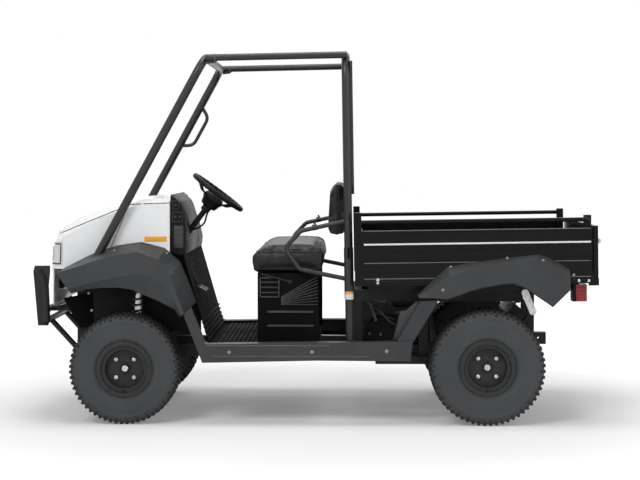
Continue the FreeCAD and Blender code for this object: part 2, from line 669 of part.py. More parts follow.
def rack_housing():
    x = BALL_JOINT[0] - STEER_ARM_LENGTH
    body = rod((x, -RACK_HOUSING_HALF, RACK_Z), (x, RACK_HOUSING_HALF, RACK_Z), RACK_HOUSING_RADIUS)
    pad = box(around(x, RACK_PAD_WIDTH), around(RACK_PAD_Y, RACK_PAD_WIDTH), (RACK_Z, LOWER_RAIL_Z[0] - SEAT_GAP))
    bore = rod((x, -RACK_HALF, RACK_Z), (x, RACK_HALF, RACK_Z), RACK_RADIUS + PIN_GAP)
    return joined([body] + both_sides(pad)).cut(bore)


# Main frame
def main_frame():
    """The ladder under the floor, with its outriggers, spring hangers and the lower arms' ears."""
    pieces = []
    for side in (1, -1):
        pieces.append(box(LOWER_RAIL_X, around(side * LOWER_RAIL_Y, RAIL_WIDTH), LOWER_RAIL_Z))
        foot = sorted((side * LOWER_RAIL_Y, side * (UPPER_RAIL_Y + RAIL_WIDTH / 2)))
        for x in REAR_UPRIGHT_XS:
            pieces.append(box(around(x, RAIL_WIDTH), foot, (LOWER_RAIL_Z[0], CROSS_Z[1])))
    for x in CROSS_XS:
        pieces.append(box(around(x, CROSS_WIDTH), spread(CROSS_HALF), CROSS_Z))
    for x in (BALL_JOINT[0] - STEER_ARM_LENGTH, LOWER_RAIL_X[1] - CROSS_WIDTH / 2):
        pieces.append(box(around(x, CROSS_WIDTH), spread(LOWER_RAIL_Y), LOWER_RAIL_Z))
    pieces += both_sides(box(SPRING_HANGER_X, SPRING_HANGER_Y, SPRING_HANGER_Z))
    for end in (1, -1):
        for reach in (ARM_BUSH_LENGTH / 2 + SEAT_GAP, -ARM_BUSH_LENGTH / 2 - SEAT_GAP - ARM_BRACKET_THICK):
            x = BALL_JOINT[0] + end * ARM_PIVOT_REACH + reach
            ear = box((x, x + ARM_BRACKET_THICK), ARM_BRACKET_Y, (ARM_PIVOT_Z - ARM_BUSH_RADIUS, LOWER_RAIL_Z[1]))
            pieces += both_sides(ear)
    return joined(pieces)


def rear_frame():
    """The upper rails that carry the bed, on four uprights, with the tilt lugs and the hitch's drop."""
    pieces = frame_lugs()
    for side in (1, -1):
        rail_y = around(side * UPPER_RAIL_Y, RAIL_WIDTH)
        pieces.append(box(UPPER_RAIL_X, rail_y, UPPER_RAIL_Z))
        for x in REAR_UPRIGHT_XS:
            pieces.append(box(around(x, RAIL_WIDTH), rail_y, (CROSS_Z[1] + SEAT_GAP, UPPER_RAIL_Z[1])))
    for x in REAR_CROSS_XS:
        pieces.append(box(around(x, CROSS_WIDTH), spread(UPPER_RAIL_Y), UPPER_RAIL_Z))
    drop = box(HITCH_DROP_X, around(HITCH_DROP_HALF, RAIL_WIDTH), (HITCH_Z[0], UPPER_RAIL_Z[1]))
    pieces += both_sides(drop)
    pieces.append(box(HITCH_DROP_X, spread(HITCH_DROP_HALF), HITCH_Z))
    return joined(pieces)


def strut_tower():
    plate_z = around(STRUT_TOP[2], TOWER_THICK)
    top = box(TOWER_X, TOWER_Y, plate_z)
    bridge = box(TOWER_X, (TOWER_LEG_Y[0], TOWER_Y[0]), plate_z)
    leg = box(TOWER_X, TOWER_LEG_Y, (LOWER_RAIL_Z[1] + SEAT_GAP, plate_z[1]))
    hole = rod(kingpin(1 - SPRING_SHARE), kingpin(1 + SPRING_SHARE), STRUT_ROD_RADIUS + PIN_GAP)
    return joined([top, bridge, leg]).cut(hole)


def front_frame():
    """The strut towers and the nose uprights on the ladder, braced together, with the cage's front sockets."""
    nose_x = NOSE_UPRIGHT_XS[0]
    pieces = both_sides(strut_tower())
    upright = box(around(nose_x, RAIL_WIDTH), around(LOWER_RAIL_Y, RAIL_WIDTH), (LOWER_RAIL_Z[1] + SEAT_GAP, NOSE_UPRIGHT_TOP))
    pieces += both_sides(upright)
    brace_low = (nose_x, LOWER_RAIL_Y, NOSE_UPRIGHT_TOP - RAIL_WIDTH)
    brace_end = (TOWER_X[0], TOWER_LEG_Y[1] - FRAME_BRACE_RADIUS, STRUT_TOP[2] - RAIL_WIDTH)
    pieces += both_sides(rod(brace_low, brace_end, FRAME_BRACE_RADIUS))
    nose_bar = NOSE_UPRIGHT_TOP - RAIL_WIDTH / 2
    pieces.append(box(around(nose_x, RAIL_WIDTH), spread(LOWER_RAIL_Y), around(nose_bar, RAIL_WIDTH)))
    root = (CAGE_ROOT[0], CAGE_Y, CAGE_ROOT[1] - FRAME_BRACE_RADIUS - SEAT_GAP)
    pieces += both_sides(rod((nose_x, LOWER_RAIL_Y, root[2]), root, CAGE_ARM_RADIUS))
    low = (root[0], root[1], root[2] - FRAME_BRACE_RADIUS)
    high = (root[0], root[1], root[2] + FRAME_BRACE_RADIUS)
    pieces += both_sides(rod(low, high, CAGE_RADIUS + PLASTIC_WALL))
    return joined(pieces)


def hitch():
    outer = box(HITCH_X, spread(HITCH_HALF), HITCH_Z)
    inner = box((HITCH_X[0] - OVERRUN, HITCH_X[1] - HITCH_WALL), spread(HITCH_HALF - HITCH_WALL),
                (HITCH_Z[0] + HITCH_WALL, HITCH_Z[1] - HITCH_WALL))
    middle = (HITCH_X[0] + HITCH_X[1]) / 2
    z = (HITCH_Z[0] + HITCH_Z[1]) / 2
    pin = rod((middle, -HITCH_HALF - OVERRUN, z), (middle, HITCH_HALF + OVERRUN, z), HITCH_PIN_RADIUS)
    shape = outer.cut(inner).cut(pin)
    shape.translate(V(-SEAT_GAP, 0, 0))
    return shape


# Rear axle and drive
def rear_axle():
    z = REAR_TYRE_RADIUS
    floor = hub_floor(REAR_TRACK / 2, REAR_TYRE_WIDTH)
    case = box(AXLE_CASE_X, AXLE_CASE_Y, AXLE_CASE_Z)
    case = case.makeFillet(AXLE_CASE_CORNER, case.Edges)
    tubes = rod((REAR_AXLE_X, -AXLE_TUBE_HALF, z), (REAR_AXLE_X, AXLE_TUBE_HALF, z), AXLE_TUBE_RADIUS)
    reach = floor - RIM_WALL - STUB_END_GAP
    stubs = rod((REAR_AXLE_X, -reach, z), (REAR_AXLE_X, reach, z), STUB_RADIUS)
    pads = [box(around(REAR_AXLE_X, LEAF_SEAT_HALF * 2), around(side * LEAF_Y, LEAF_WIDTH), (z, LEAF_SEAT_Z - SEAT_GAP))
            for side in (1, -1)]
    drums = both_sides(rod((REAR_AXLE_X, REAR_DRUM_Y[0], z), (REAR_AXLE_X, REAR_DRUM_Y[1], z), DRUM_RADIUS))
    return joined([case, tubes, stubs] + drums + pads)


def leaf_springs():
    x0, z0 = LEAF_FRONT
    x1, z1 = LEAF_REAR
    seat = (REAR_AXLE_X, LEAF_SEAT_Z)
    low = [(x0, z0), (seat[0] + LEAF_SEAT_HALF, seat[1]), (seat[0] - LEAF_SEAT_HALF, seat[1]), (x1, z1)]
    high = [(x, z + LEAF_THICK) for x, z in reversed(low)]
    y = around(LEAF_Y, LEAF_WIDTH)
    blade = side_plate(low + high, y)
    eyes = [rod((x, y[0], z + LEAF_THICK / 2), (x, y[1], z + LEAF_THICK / 2), LEAF_EYE_RADIUS) for x, z in (LEAF_FRONT, LEAF_REAR)]
    spring = joined([blade] + eyes)
    return Part.makeCompound(both_sides(spring))


def shackles():
    y = (LEAF_Y + LEAF_WIDTH / 2 + SEAT_GAP, LEAF_Y + LEAF_WIDTH / 2 + SEAT_GAP + SHACKLE_THICK)
    foot = (LEAF_REAR[0], LEAF_REAR[1] + LEAF_THICK / 2)
    ends = [rod((x, y[0], z), (x, y[1], z), SHACKLE_RADIUS) for x, z in (SHACKLE_TOP, foot)]
    line = V(SHACKLE_TOP[0] - foot[0], 0, SHACKLE_TOP[1] - foot[1]).normalize()
    across = V(-line.z, 0, line.x) * SHACKLE_RADIUS
    points = [(foot[0] + across.x, foot[1] + across.z), (foot[0] - across.x, foot[1] - across.z),
              (SHACKLE_TOP[0] - across.x, SHACKLE_TOP[1] - across.z), (SHACKLE_TOP[0] + across.x, SHACKLE_TOP[1] + across.z)]
    bolt = rod((SHACKLE_TOP[0], UPPER_RAIL_Y + RAIL_WIDTH / 2 + SEAT_GAP, SHACKLE_TOP[1] - RAIL_WIDTH / 2),
               (SHACKLE_TOP[0], y[1], SHACKLE_TOP[1] - RAIL_WIDTH / 2), SHACKLE_BOLT_RADIUS)
    plate = joined([side_plate(points, y)] + ends + [bolt])
    return Part.makeCompound(both_sides(plate))


def engine():
    return box(ENGINE_X, ENGINE_Y, ENGINE_Z)


def belt_cover():
    shape = box(BELT_COVER_X, BELT_COVER_Y, BELT_COVER_Z)
    edges = [e for e in shape.Edges if abs(e.tangentAt(0).y) > 0.9]
    shorter = min(BELT_COVER_X[1] - BELT_COVER_X[0], BELT_COVER_Z[1] - BELT_COVER_Z[0])
    return shape.makeFillet(shorter * BELT_COVER_CORNER_SHARE, edges)


def muffler():
    x = HITCH_DROP_X[1] + MUFFLER_RADIUS + SEAT_GAP
    return rod((x, MUFFLER_Y[0], MUFFLER_Z), (x, MUFFLER_Y[1], MUFFLER_Z), MUFFLER_RADIUS)


def radiator():
    return box(RADIATOR_X, RADIATOR_Y, RADIATOR_Z)


# Front guard
def front_guard():
    x = GUARD_OUTLINE_X + GUARD_DEPTH / 2
    top = GUARD_BASE_Z + GUARD_HEIGHT - GUARD_TUBE_RADIUS
    low = GUARD_BASE_Z + GUARD_TUBE_RADIUS
    half = GUARD_HALF_WIDTH
    back = GUARD_OUTLINE_X + GUARD_TUBE_RADIUS
    front = GUARD_OUTLINE_X + GUARD_DEPTH - GUARD_TUBE_RADIUS
    hoop = bent_pipe([(front, 0, top), (front, half, top), (back, half, (top + low) / 2), (back, half, low), (back, 0, low)],
                     GUARD_TUBE_RADIUS, GUARD_BEND)
    pieces = both_sides(hoop)
    y = LOWER_RAIL_Y
    pieces += both_sides(rod((front, y, top), (back, y, low), GUARD_UPRIGHT_RADIUS))
    pad_x = (LOWER_RAIL_X[1] + SEAT_GAP, LOWER_RAIL_X[1] + SEAT_GAP + GUARD_PAD_THICK)
    for z in (GUARD_STAY_TOP_Z, GUARD_STAY_LOW_Z):
        near = (back, y, max(z, low))
        pieces += both_sides(rod(near, (pad_x[0] + GUARD_PAD_THICK / 2, y, z), GUARD_STAY_RADIUS))
        pieces += both_sides(box(pad_x, around(y, RAIL_WIDTH), around(z, GUARD_STAY_HALF * 2)))
    inside = box((GUARD_OUTLINE_X - OVERRUN - RAIL_WIDTH * 4, pad_x[0]), spread(GUARD_HALF_WIDTH),
                 (GUARD_STAY_LOW_Z - RAIL_WIDTH, GUARD_BASE_Z + GUARD_HEIGHT))
    return joined(pieces).cut(inside)


# Nose
def nose_section(row, wall):
    u, base, belt, shoulder, belt_z, shoulder_z, crown_z = row
    x = NOSE_X + u * NOSE_LENGTH
    w = NOSE_HALF_WIDTH
    z0, h = NOSE_BASE_Z, NOSE_HEIGHT
    points = [(base * w - wall, z0), (belt * w - wall, z0 + belt_z * h), (shoulder * w - wall, z0 + shoulder_z * h - wall),
              (0, z0 + crown_z * h - wall)]
    left = [(x, y, z) for y, z in points]
    right = [(x, -y, z) for y, z in reversed(points[:-1])]
    return polygon(left + right)


def nose_form(wall):
    wires = [nose_section(row, wall) for row in NOSE_SECTION_SHARES]
    return Part.makeLoft(wires, True, True)


def nose_skin():
    cavity = nose_form(PLASTIC_WALL)
    cavity.translate(V(-PLASTIC_WALL, 0, 0))
    low = cavity.copy()
    low.translate(V(0, 0, -PLASTIC_WALL))
    return nose_form(0).cut(cavity).cut(low)


def above_seam(lift):
    rear, middle, front = HOOD_SEAM
    top = NOSE_BASE_Z + NOSE_HEIGHT + OVERRUN
    points = [(rear[0] - OVERRUN, rear[1] + lift), (middle[0], middle[1] + lift), (front[0] + OVERRUN, front[1] + lift),
              (front[0] + OVERRUN, top), (rear[0] - OVERRUN, top)]
    return side_plate(points, spread(NOSE_HALF_WIDTH + OVERRUN))


def behind_leg(gap):
    points = [(SIDE_SEAM_TOP[0] + gap, NOSE_BASE_Z + NOSE_HEIGHT + OVERRUN),
              (SIDE_SEAM_TOP[0] + gap, SIDE_SEAM_TOP[1]), (SIDE_SEAM_FOOT[0] + gap, SIDE_SEAM_FOOT[1]),
              (SIDE_SEAM_FOOT[0] + gap, NOSE_BASE_Z - OVERRUN), (NOSE_X - OVERRUN, NOSE_BASE_Z - OVERRUN),
              (NOSE_X - OVERRUN, NOSE_BASE_Z + NOSE_HEIGHT + OVERRUN)]
    return side_plate(points, spread(NOSE_HALF_WIDTH + OVERRUN))


def fender_keepout(margin):
    """The space under each fender's top edge that the nose leaves free."""
    hub = (FRONT_AXLE_X, FRONT_TYRE_RADIUS)
    points = [(FRONT_AXLE_X + FENDER_REACH, FRONT_TYRE_RADIUS), (hub[0] - FENDER_REACH, hub[1])]
    for angle, top, *rest in reversed(FENDER_STATION_SHARES):
        turn = math.radians(angle)
        reach = top * FENDER_REACH + margin
        points.append((hub[0] + reach * math.cos(turn), hub[1] + reach * math.sin(turn)))
    last = points[-1]
    points.append((FRONT_AXLE_X + FENDER_REACH, last[1]))
    plate = side_plate(points, (FENDER_NOSE_Y, FENDER_TOP_Y + OVERRUN))
    return joined(both_sides(plate))


def hinge_ear(y, root, foot):
    """An eye about the hood's hinge line, its web up or down to foot and its root back into the nose."""
    x, level = HOOD_HINGE
    eye = rod((x, y[0], level), (x, y[1], level), HOOD_EYE_RADIUS)
    low, high = min(level, foot), max(level, foot)
    inward = HOOD_EAR_THICK if foot < level else -HOOD_EAR_THICK
    web = box(around(x, HOOD_EYE_RADIUS * 2), y, (low, high))
    reach = box((x - root, x), y, (min(foot, foot + inward), max(foot, foot + inward)))
    return joined([eye, web, reach])


def hood(skin):
    x, level = HOOD_HINGE
    ear = hinge_ear(HOOD_EYE_Y, HOOD_EAR_ROOT, level + HOOD_EAR_RISE)
    bore = rod((x, 0, level), (x, HOOD_EAR_Y[1][1], level), HOOD_PIN_RADIUS + PIN_GAP)
    return joined([skin.common(above_seam(HOOD_GAP))] + both_sides(ear.cut(bore)))


def grille_opening():
    return box((NOSE_X + NOSE_LENGTH / 2, NOSE_X + NOSE_LENGTH + OVERRUN), spread(GRILLE_Y), GRILLE_Z)


def lamp_block(margin):
    y = (LAMP_Y[0] - margin, LAMP_Y[1] + margin)
    z = (LAMP_Z[0] - margin, LAMP_Z[1] + margin)
    x = (NOSE_X + NOSE_LENGTH - LAMP_DEPTH - margin, NOSE_X + NOSE_LENGTH + OVERRUN)
    return Part.makeCompound(both_sides(box(x, y, z)))


def front_face(skin):
    part = skin.cut(above_seam(0)).cut(behind_leg(HOOD_GAP / 2))
    panel = part.cut(grille_opening()).cut(lamp_block(SEAT_GAP))
    x, level = HOOD_HINGE
    ears = [hinge_ear(y, FACE_EAR_ROOT, level - FACE_EAR_DROP) for y in HOOD_EAR_Y]
    pin = rod((x, HOOD_EAR_Y[0][0], level), (x, HOOD_EAR_Y[1][1], level), HOOD_PIN_RADIUS)
    hinge = joined(ears + [pin])
    return joined([panel] + both_sides(hinge))


def side_panels(skin):
    part = skin.cut(above_seam(0)).common(behind_leg(-HOOD_GAP / 2))
    middle = box((NOSE_X - OVERRUN, SIDE_SEAM_FOOT[0] + OVERRUN), spread(NOSE_HALF_WIDTH / 2),
                 (NOSE_BASE_Z - OVERRUN, NOSE_BASE_Z + NOSE_HEIGHT + OVERRUN))
    return part.cut(middle)


def grille():
    x1 = NOSE_X + NOSE_LENGTH - PLASTIC_WALL
    x = (x1 - GRILLE_DEPTH, x1)
    y = spread(GRILLE_Y - SEAT_GAP)
    z = (GRILLE_Z[0] + SEAT_GAP, GRILLE_Z[1] - SEAT_GAP)
    frame = box(x, y, z)
    pitch = (z[1] - z[0]) / GRILLE_BARS
    slots = []
    for number in range(GRILLE_BARS):
        low = z[0] + number * pitch + GRILLE_BAR / 2
        slots.append(box((x[0] - OVERRUN, x[1] + OVERRUN), spread(GRILLE_Y - GRILLE_BAR), (low, low + pitch - GRILLE_BAR)))
    return frame.cut(Part.makeCompound(slots))


def headlamps():
    return lamp_block(0).common(nose_form(0))


# Fenders
def arch_panel(hub, reach, stations, ys, wall):
    """A fender of constant wall, its sections standing on planes through the hub's axis."""
    wires = []
    for angle, *shares, top_share in stations:
        turn = math.radians(angle)
        radii = [share * reach for share in shares]
        outer = list(zip(radii, (ys[0] * top_share,) + ys[1:]))
        inner = [(radii[0] - wall, ys[0] * top_share), (radii[1] - wall, ys[1] - wall), (radii[2], ys[2] - wall),
                 (radii[3], ys[3] - wall)]
        ring = outer + inner[::-1]
        wires.append(polygon([(hub[0] + r * math.cos(turn), y, hub[1] + r * math.sin(turn)) for r, y in ring]))
    return Part.makeLoft(wires, True, True)


def front_fender():
    ys = (FENDER_TOP_Y, FENDER_CREASE_Y, FENDER_LIP_Y, FENDER_SKIRT_Y)
    panel = arch_panel((FRONT_AXLE_X, FRONT_TYRE_RADIUS), FENDER_REACH, FENDER_STATION_SHARES, ys, PLASTIC_WALL)
    foot = (CAGE_FOOT[0], CAGE_Y, CAGE_FOOT[1])
    root = (CAGE_ROOT[0], CAGE_Y, CAGE_ROOT[1])
    leg = rod(along(foot, root, -1), along(foot, root, 2), FENDER_LEG_HOLE)
    return panel.cut(leg)


def rear_fender():
    ys = (REAR_FENDER_TOP_Y, REAR_FENDER_CREASE_Y, REAR_FENDER_LIP_Y, REAR_FENDER_SKIRT_Y)
    return arch_panel((REAR_AXLE_X, REAR_TYRE_RADIUS), REAR_FENDER_REACH, REAR_FENDER_STATION_SHARES, ys, PLASTIC_WALL)


def channel(points, y, wall):
    """A side cover: its outline pushed inboard and hollowed from the inner side."""
    solid = side_plate(points, y)
    face = Part.Face(polygon([(px, y[0], pz) for px, pz in points]))
    core = face.makeOffset2D(-wall).extrude(V(0, y[1] - y[0] - wall, 0))
    return solid.cut(core)


def fender_wedge():
    """Everything on the fender's side of the plane where the fender ends at the front leg."""
    turn = math.radians(FENDER_STATION_SHARES[-1][0])
    hub = (FRONT_AXLE_X - SEAT_GAP * 2, FRONT_TYRE_RADIUS - SEAT_GAP)
    far = (hub[0] + FENDER_REACH * 2 * math.cos(turn), hub[1] + FENDER_REACH * 2 * math.sin(turn))
    return side_plate([hub, far, (hub[0], far[1])], (0, BODY_HALF_WIDTH + OVERRUN))


def sill():
    shape = channel(share_points(SILL_OUTLINE_SHARES, SILL_X, SILL_Z), SILL_Y, PLASTIC_WALL)
    notches = [box(around(x, CROSS_WIDTH + SEAT_GAP * 2), (SILL_Y[0] - OVERRUN, CROSS_HALF + SEAT_GAP),
                   (CROSS_Z[0] - SEAT_GAP, CROSS_Z[1] + SEAT_GAP)) for x in CROSS_XS]
    return shape.cut(Part.makeCompound(notches)).cut(fender_wedge())


def rear_leg_cover():
    below = side_plate(share_points(SILL_OUTLINE_SHARES, SILL_X, SILL_Z), (SILL_Y[0] - OVERRUN, SILL_Y[1] + OVERRUN))
    below.translate(V(0, 0, SEAT_GAP))
    behind = below.copy()
    behind.translate(V(-SEAT_GAP * 2, 0, 0))
    leg = channel(share_points(REAR_LEG_SHARES, REAR_LEG_X, REAR_LEG_Z), REAR_LEG_Y, PLASTIC_WALL)
    return leg.cut(below).cut(behind)


def mud_flaps():
    plate = side_plate(share_points(FLAP_SHARES, FLAP_X, FLAP_Z), (FLAP_Y - PLASTIC_WALL, FLAP_Y))
    tab = box(FLAP_TAB_X, (LOWER_RAIL_Y + RAIL_WIDTH / 2 + SEAT_GAP, FLAP_Y), FLAP_TAB_Z)
    return Part.makeCompound(both_sides(joined([plate, tab])))


# Cab
def floor_pan():
    z0 = CROSS_Z[1] + SEAT_GAP
    floor = box(FLOOR_X, spread(FLOOR_HALF), (z0, FLOOR_Z))
    core = box((FLOOR_X[0] - OVERRUN, FLOOR_X[1] - SHEET_WALL), spread(FLOOR_HALF - SHEET_WALL), (z0 - OVERRUN, FLOOR_Z - SHEET_WALL * 2))
    return floor.cut(core)


def toe_board():
    x0 = FLOOR_X[1] + SEAT_GAP
    points = [(x0, CROSS_Z[1]), (x0, FLOOR_Z), TOE_TOP, (TOE_TOP[0] + SHEET_WALL * 2, TOE_TOP[1]),
              (x0 + SHEET_WALL * 2, FLOOR_Z), (x0 + SHEET_WALL * 2, CROSS_Z[1])]
    return side_plate(points, spread(TOE_HALF))


def dash():
    block = side_plate(share_points(DASH_SHARES, DASH_X, DASH_Z), spread(DASH_HALF))
    face = Part.Face(polygon([(px, -DASH_HALF, pz) for px, pz in share_points(DASH_SHARES, DASH_X, DASH_Z)]))
    core = face.makeOffset2D(-PLASTIC_WALL).extrude(V(0, DASH_HALF * 2, 0))
    open_front = box((DASH_X[1] - PLASTIC_WALL * 2, DASH_X[1] + OVERRUN), spread(DASH_HALF - PLASTIC_WALL),
                     (DASH_Z[0] + OVERRUN * 3, DASH_Z[1] - OVERRUN * 2))
    inside = core.common(box((DASH_X[0], DASH_X[1]), spread(DASH_HALF - PLASTIC_WALL), DASH_Z))
    head = column_point(0)
    foot = column_point(1)
    return block.cut(inside).cut(open_front).cut(rod(head, foot, COLUMN_HEAD_RADIUS + SEAT_GAP))


def column_point(share):
    x = WHEEL_CENTRE[0] + (COLUMN_FOOT[0] - WHEEL_CENTRE[0]) * share
    z = WHEEL_CENTRE[1] + (COLUMN_FOOT[1] - WHEEL_CENTRE[1]) * share
    return (x, DRIVER_Y, z)


def steering_column():
    head = rod(column_point(COLUMN_HEAD_SHARE), column_point(COLUMN_COVER_SHARE), COLUMN_HEAD_RADIUS)
    shaft = rod(column_point(COLUMN_COVER_SHARE), column_point(1), COLUMN_RADIUS)
    bore = rod(column_point(0), column_point(COLUMN_COVER_SHARE / 2), WHEEL_SHAFT_RADIUS + PIN_GAP)
    return joined([head, shaft]).cut(bore)


def steering_wheel():
    centre = V(*column_point(0))
    axis = (V(*column_point(1)) - centre).normalize()
    ring = Part.makeTorus(WHEEL_RING_RADIUS, WHEEL_GRIP_RADIUS, centre, axis)
    end = centre + axis * WHEEL_HUB_DROP
    hub = rod(centre + axis * (WHEEL_HUB_DROP / 3), end, WHEEL_HUB_RADIUS)
    shaft = rod(centre, V(*column_point(COLUMN_COVER_SHARE / 2 - COLUMN_HEAD_SHARE / 4)), WHEEL_SHAFT_RADIUS)
    pieces = [ring, hub, shaft]
    side = V(0, 1, 0)
    for number in range(WHEEL_SPOKES):
        turn = 360 / WHEEL_SPOKES * number - 90
        spoke = rod(centre + axis * WHEEL_HUB_DROP / 2, centre + side * WHEEL_RING_RADIUS, WHEEL_SPOKE_RADIUS)
        spoke.rotate(centre, axis, turn)
        pieces.append(spoke)
    return joined(pieces)


def seat_base():
    outer = box(SEAT_BASE_X, spread(SEAT_BASE_HALF), (FLOOR_Z + SEAT_GAP, SEAT_BASE_TOP))
    inner = box((SEAT_BASE_X[0] - OVERRUN, SEAT_BASE_X[1] - PLASTIC_WALL), spread(SEAT_BASE_HALF - PLASTIC_WALL),
                (FLOOR_Z - OVERRUN, SEAT_BASE_TOP - PLASTIC_WALL))
    return outer.cut(inner)


def seat_cushion():
    block = side_plate(share_points(SEAT_SHARES, SEAT_X, SEAT_Z), spread(SEAT_HALF))
    return block


def seat_back():
    return side_plate(share_points(BACK_SHARES, BACK_X, BACK_Z), BACK_Y).cut(back_bar(CAGE_RADIUS + SEAT_GAP))


# Cage
def cage_front():
    legs = []
    for side in (1, -1):
        y = side * CAGE_Y
        brow = (CAGE_BROW[0], y, CAGE_BROW[1])
        root = along(brow, (CAGE_ROOT[0], y, CAGE_ROOT[1]), CAGE_ROOT_SHARE)
        end = (CAGE_ROOF_END[0], y, CAGE_ROOF_END[1])
        legs.append(bent_pipe([root, brow, end], CAGE_RADIUS, CAGE_BEND))
    x = CAGE_BROW[0] - CAGE_BEND
    cross = rod((x, -CAGE_Y, CAGE_BROW[1]), (x, CAGE_Y, CAGE_BROW[1]), CAGE_RADIUS - SHEET_WALL)
    below = box((CAGE_BROW[0], CAGE_ROOT[0] + OVERRUN * 4), spread(CAGE_Y + OVERRUN * 4), (LOWER_RAIL_Z[0], CAGE_ROOT[1]))
    return joined(legs + [cross]).cut(below)


def post_point(share, side):
    x = POST_TOP[0] + (POST_FOOT[0] - POST_TOP[0]) * share
    z = POST_TOP[1] + (POST_FOOT[1] - POST_TOP[1]) * share
    return (x, side * CAGE_Y, z)


def rear_hoop(radius):
    points = [post_point(1, 1), post_point(0, 1), post_point(0, -1), post_point(1, -1)]
    return bent_pipe(points, radius, POST_BEND)


def back_bar(radius):
    share = (POST_TOP[1] - BACK_BAR_Z) / (POST_TOP[1] - POST_FOOT[1])
    return rod(post_point(share, 1), post_point(share, -1), radius)


def post_rings(radius):
    length = POST_RING_LENGTH / (POST_TOP[1] - POST_FOOT[1])
    return [rod(post_point(POST_RING_SHARE, side), post_point(POST_RING_SHARE + length, side), radius) for side in (1, -1)]


def cage_rear():
    return joined([rear_hoop(CAGE_RADIUS), back_bar(CAGE_RADIUS)] + post_rings(POST_RING_RADIUS))


def rear_screen():
    low, high = [post_point((POST_TOP[1] - z) / (POST_TOP[1] - POST_FOOT[1]), 1) for z in SCREEN_Z]
    back = CAGE_RADIUS + SEAT_GAP
    points = [(low[0] - back, low[2]), (high[0] - back, high[2]), (high[0] - back - SCREEN_THICK, high[2]),
              (low[0] - back - SCREEN_THICK, low[2])]
    inner = box((low[0] - back * 2, high[0]), spread(SCREEN_HALF - SCREEN_FRAME),
                (SCREEN_Z[0] + SCREEN_FRAME, SCREEN_Z[1] - SCREEN_FRAME))
    rings = Part.makeCompound(post_rings(POST_RING_RADIUS + SEAT_GAP * 4))
    return side_plate(points, spread(SCREEN_HALF)).cut(inner).cut(rings)


def hip_guard():
    points = [(x, CAGE_Y, z) for x, z in (HIP_TOP, HIP_TOP_FRONT, HIP_NOSE, HIP_LOW_FRONT, HIP_LOW)]
    return bent_pipe(points, GUARD_RAIL_RADIUS, HIP_BEND)


def grab_handle():
    root = (CAGE_ROOT[0], -CAGE_Y, CAGE_ROOT[1])
    brow = (CAGE_BROW[0], -CAGE_Y, CAGE_BROW[1])
    high = along(brow, root, GRAB_SHARES[0])
    low = along(brow, root, GRAB_SHARES[1])
    inner = [(p[0] - GRAB_OFFSET, p[1], p[2] - GRAB_OFFSET / 2) for p in (along(high, low, GRAB_SHARES[0]), along(low, high, GRAB_SHARES[0]))]
    loop = bent_pipe([high, inner[0], inner[1], low], GRAB_RADIUS, GRAB_OFFSET / 2)
    return loop.cut(rod(root, brow, CAGE_RADIUS + SEAT_GAP))


# Cargo bed
def raked(shape):
    copy = shape.copy()
    copy.rotate(V(TILT_HINGE[0], 0, TILT_HINGE[1]), V(0, 1, 0), RAKE_DEGREES)
    return copy


def bed_side_panel():
    x = (BED_X[0], BED_X[1])
    y = (BED_HALF - SHEET_WALL, BED_HALF)
    panel = box(x, y, (BED_BASE_Z, BED_PANEL_TOP))
    ledge = box(x, (BED_HALF - SHEET_WALL, BED_HALF + BED_LEDGE_OUT), (BED_LEDGE_Z, BED_LEDGE_Z + BED_LEDGE_OUT * 2))
    cap = box(x, (BED_HALF - BED_LEDGE_OUT * 2, BED_HALF), (BED_PANEL_TOP - SHEET_WALL, BED_PANEL_TOP))
    pieces = [panel, ledge, cap]
    for share in BED_GROOVE_SHARES:
        z = BED_BASE_Z + (BED_LEDGE_Z - BED_BASE_Z) * share
        pieces.append(box(x, (BED_HALF - SHEET_WALL, BED_HALF + SHEET_WALL), around(z, BED_GROOVE)))
    return joined(pieces)


def bed_tub():
    floor = box(BED_X, spread(BED_HALF), (BED_BASE_Z, BED_FLOOR_Z))
    front = box((BED_X[1] - SHEET_WALL, BED_X[1]), spread(BED_HALF), (BED_BASE_Z, BED_PANEL_TOP))
    beams = [box(BED_BEAM_X, around(side * BED_BEAM_Y, RAIL_WIDTH), BED_BEAM_Z) for side in (1, -1)]
    ear_y = (BED_HALF - TAILGATE_EAR_THICK, BED_HALF)
    ear = box((TAILGATE_X - TAILGATE_THICK, BED_X[0] + OVERRUN), ear_y, TAILGATE_EAR_Z)
    pins = tailgate_pin(TAILGATE_PIN_RADIUS, (BED_HALF - BED_POST_Y / 2 - TAILGATE_PIN_DEPTH + SEAT_GAP, BED_HALF))
    plate = box((BED_X[0] + BED_PLATE_INSETS[0], BED_X[1] - BED_PLATE_INSETS[1]), spread(BED_HALF - BED_PLATE_MARGIN),
                (BED_BASE_Z, BED_FLOOR_Z + BED_PLATE_RISE))
    tub = joined([floor, front, plate] + both_sides(bed_side_panel()) + both_sides(ear) + pins + beams)
    return joined([raked(tub)] + bed_lugs())


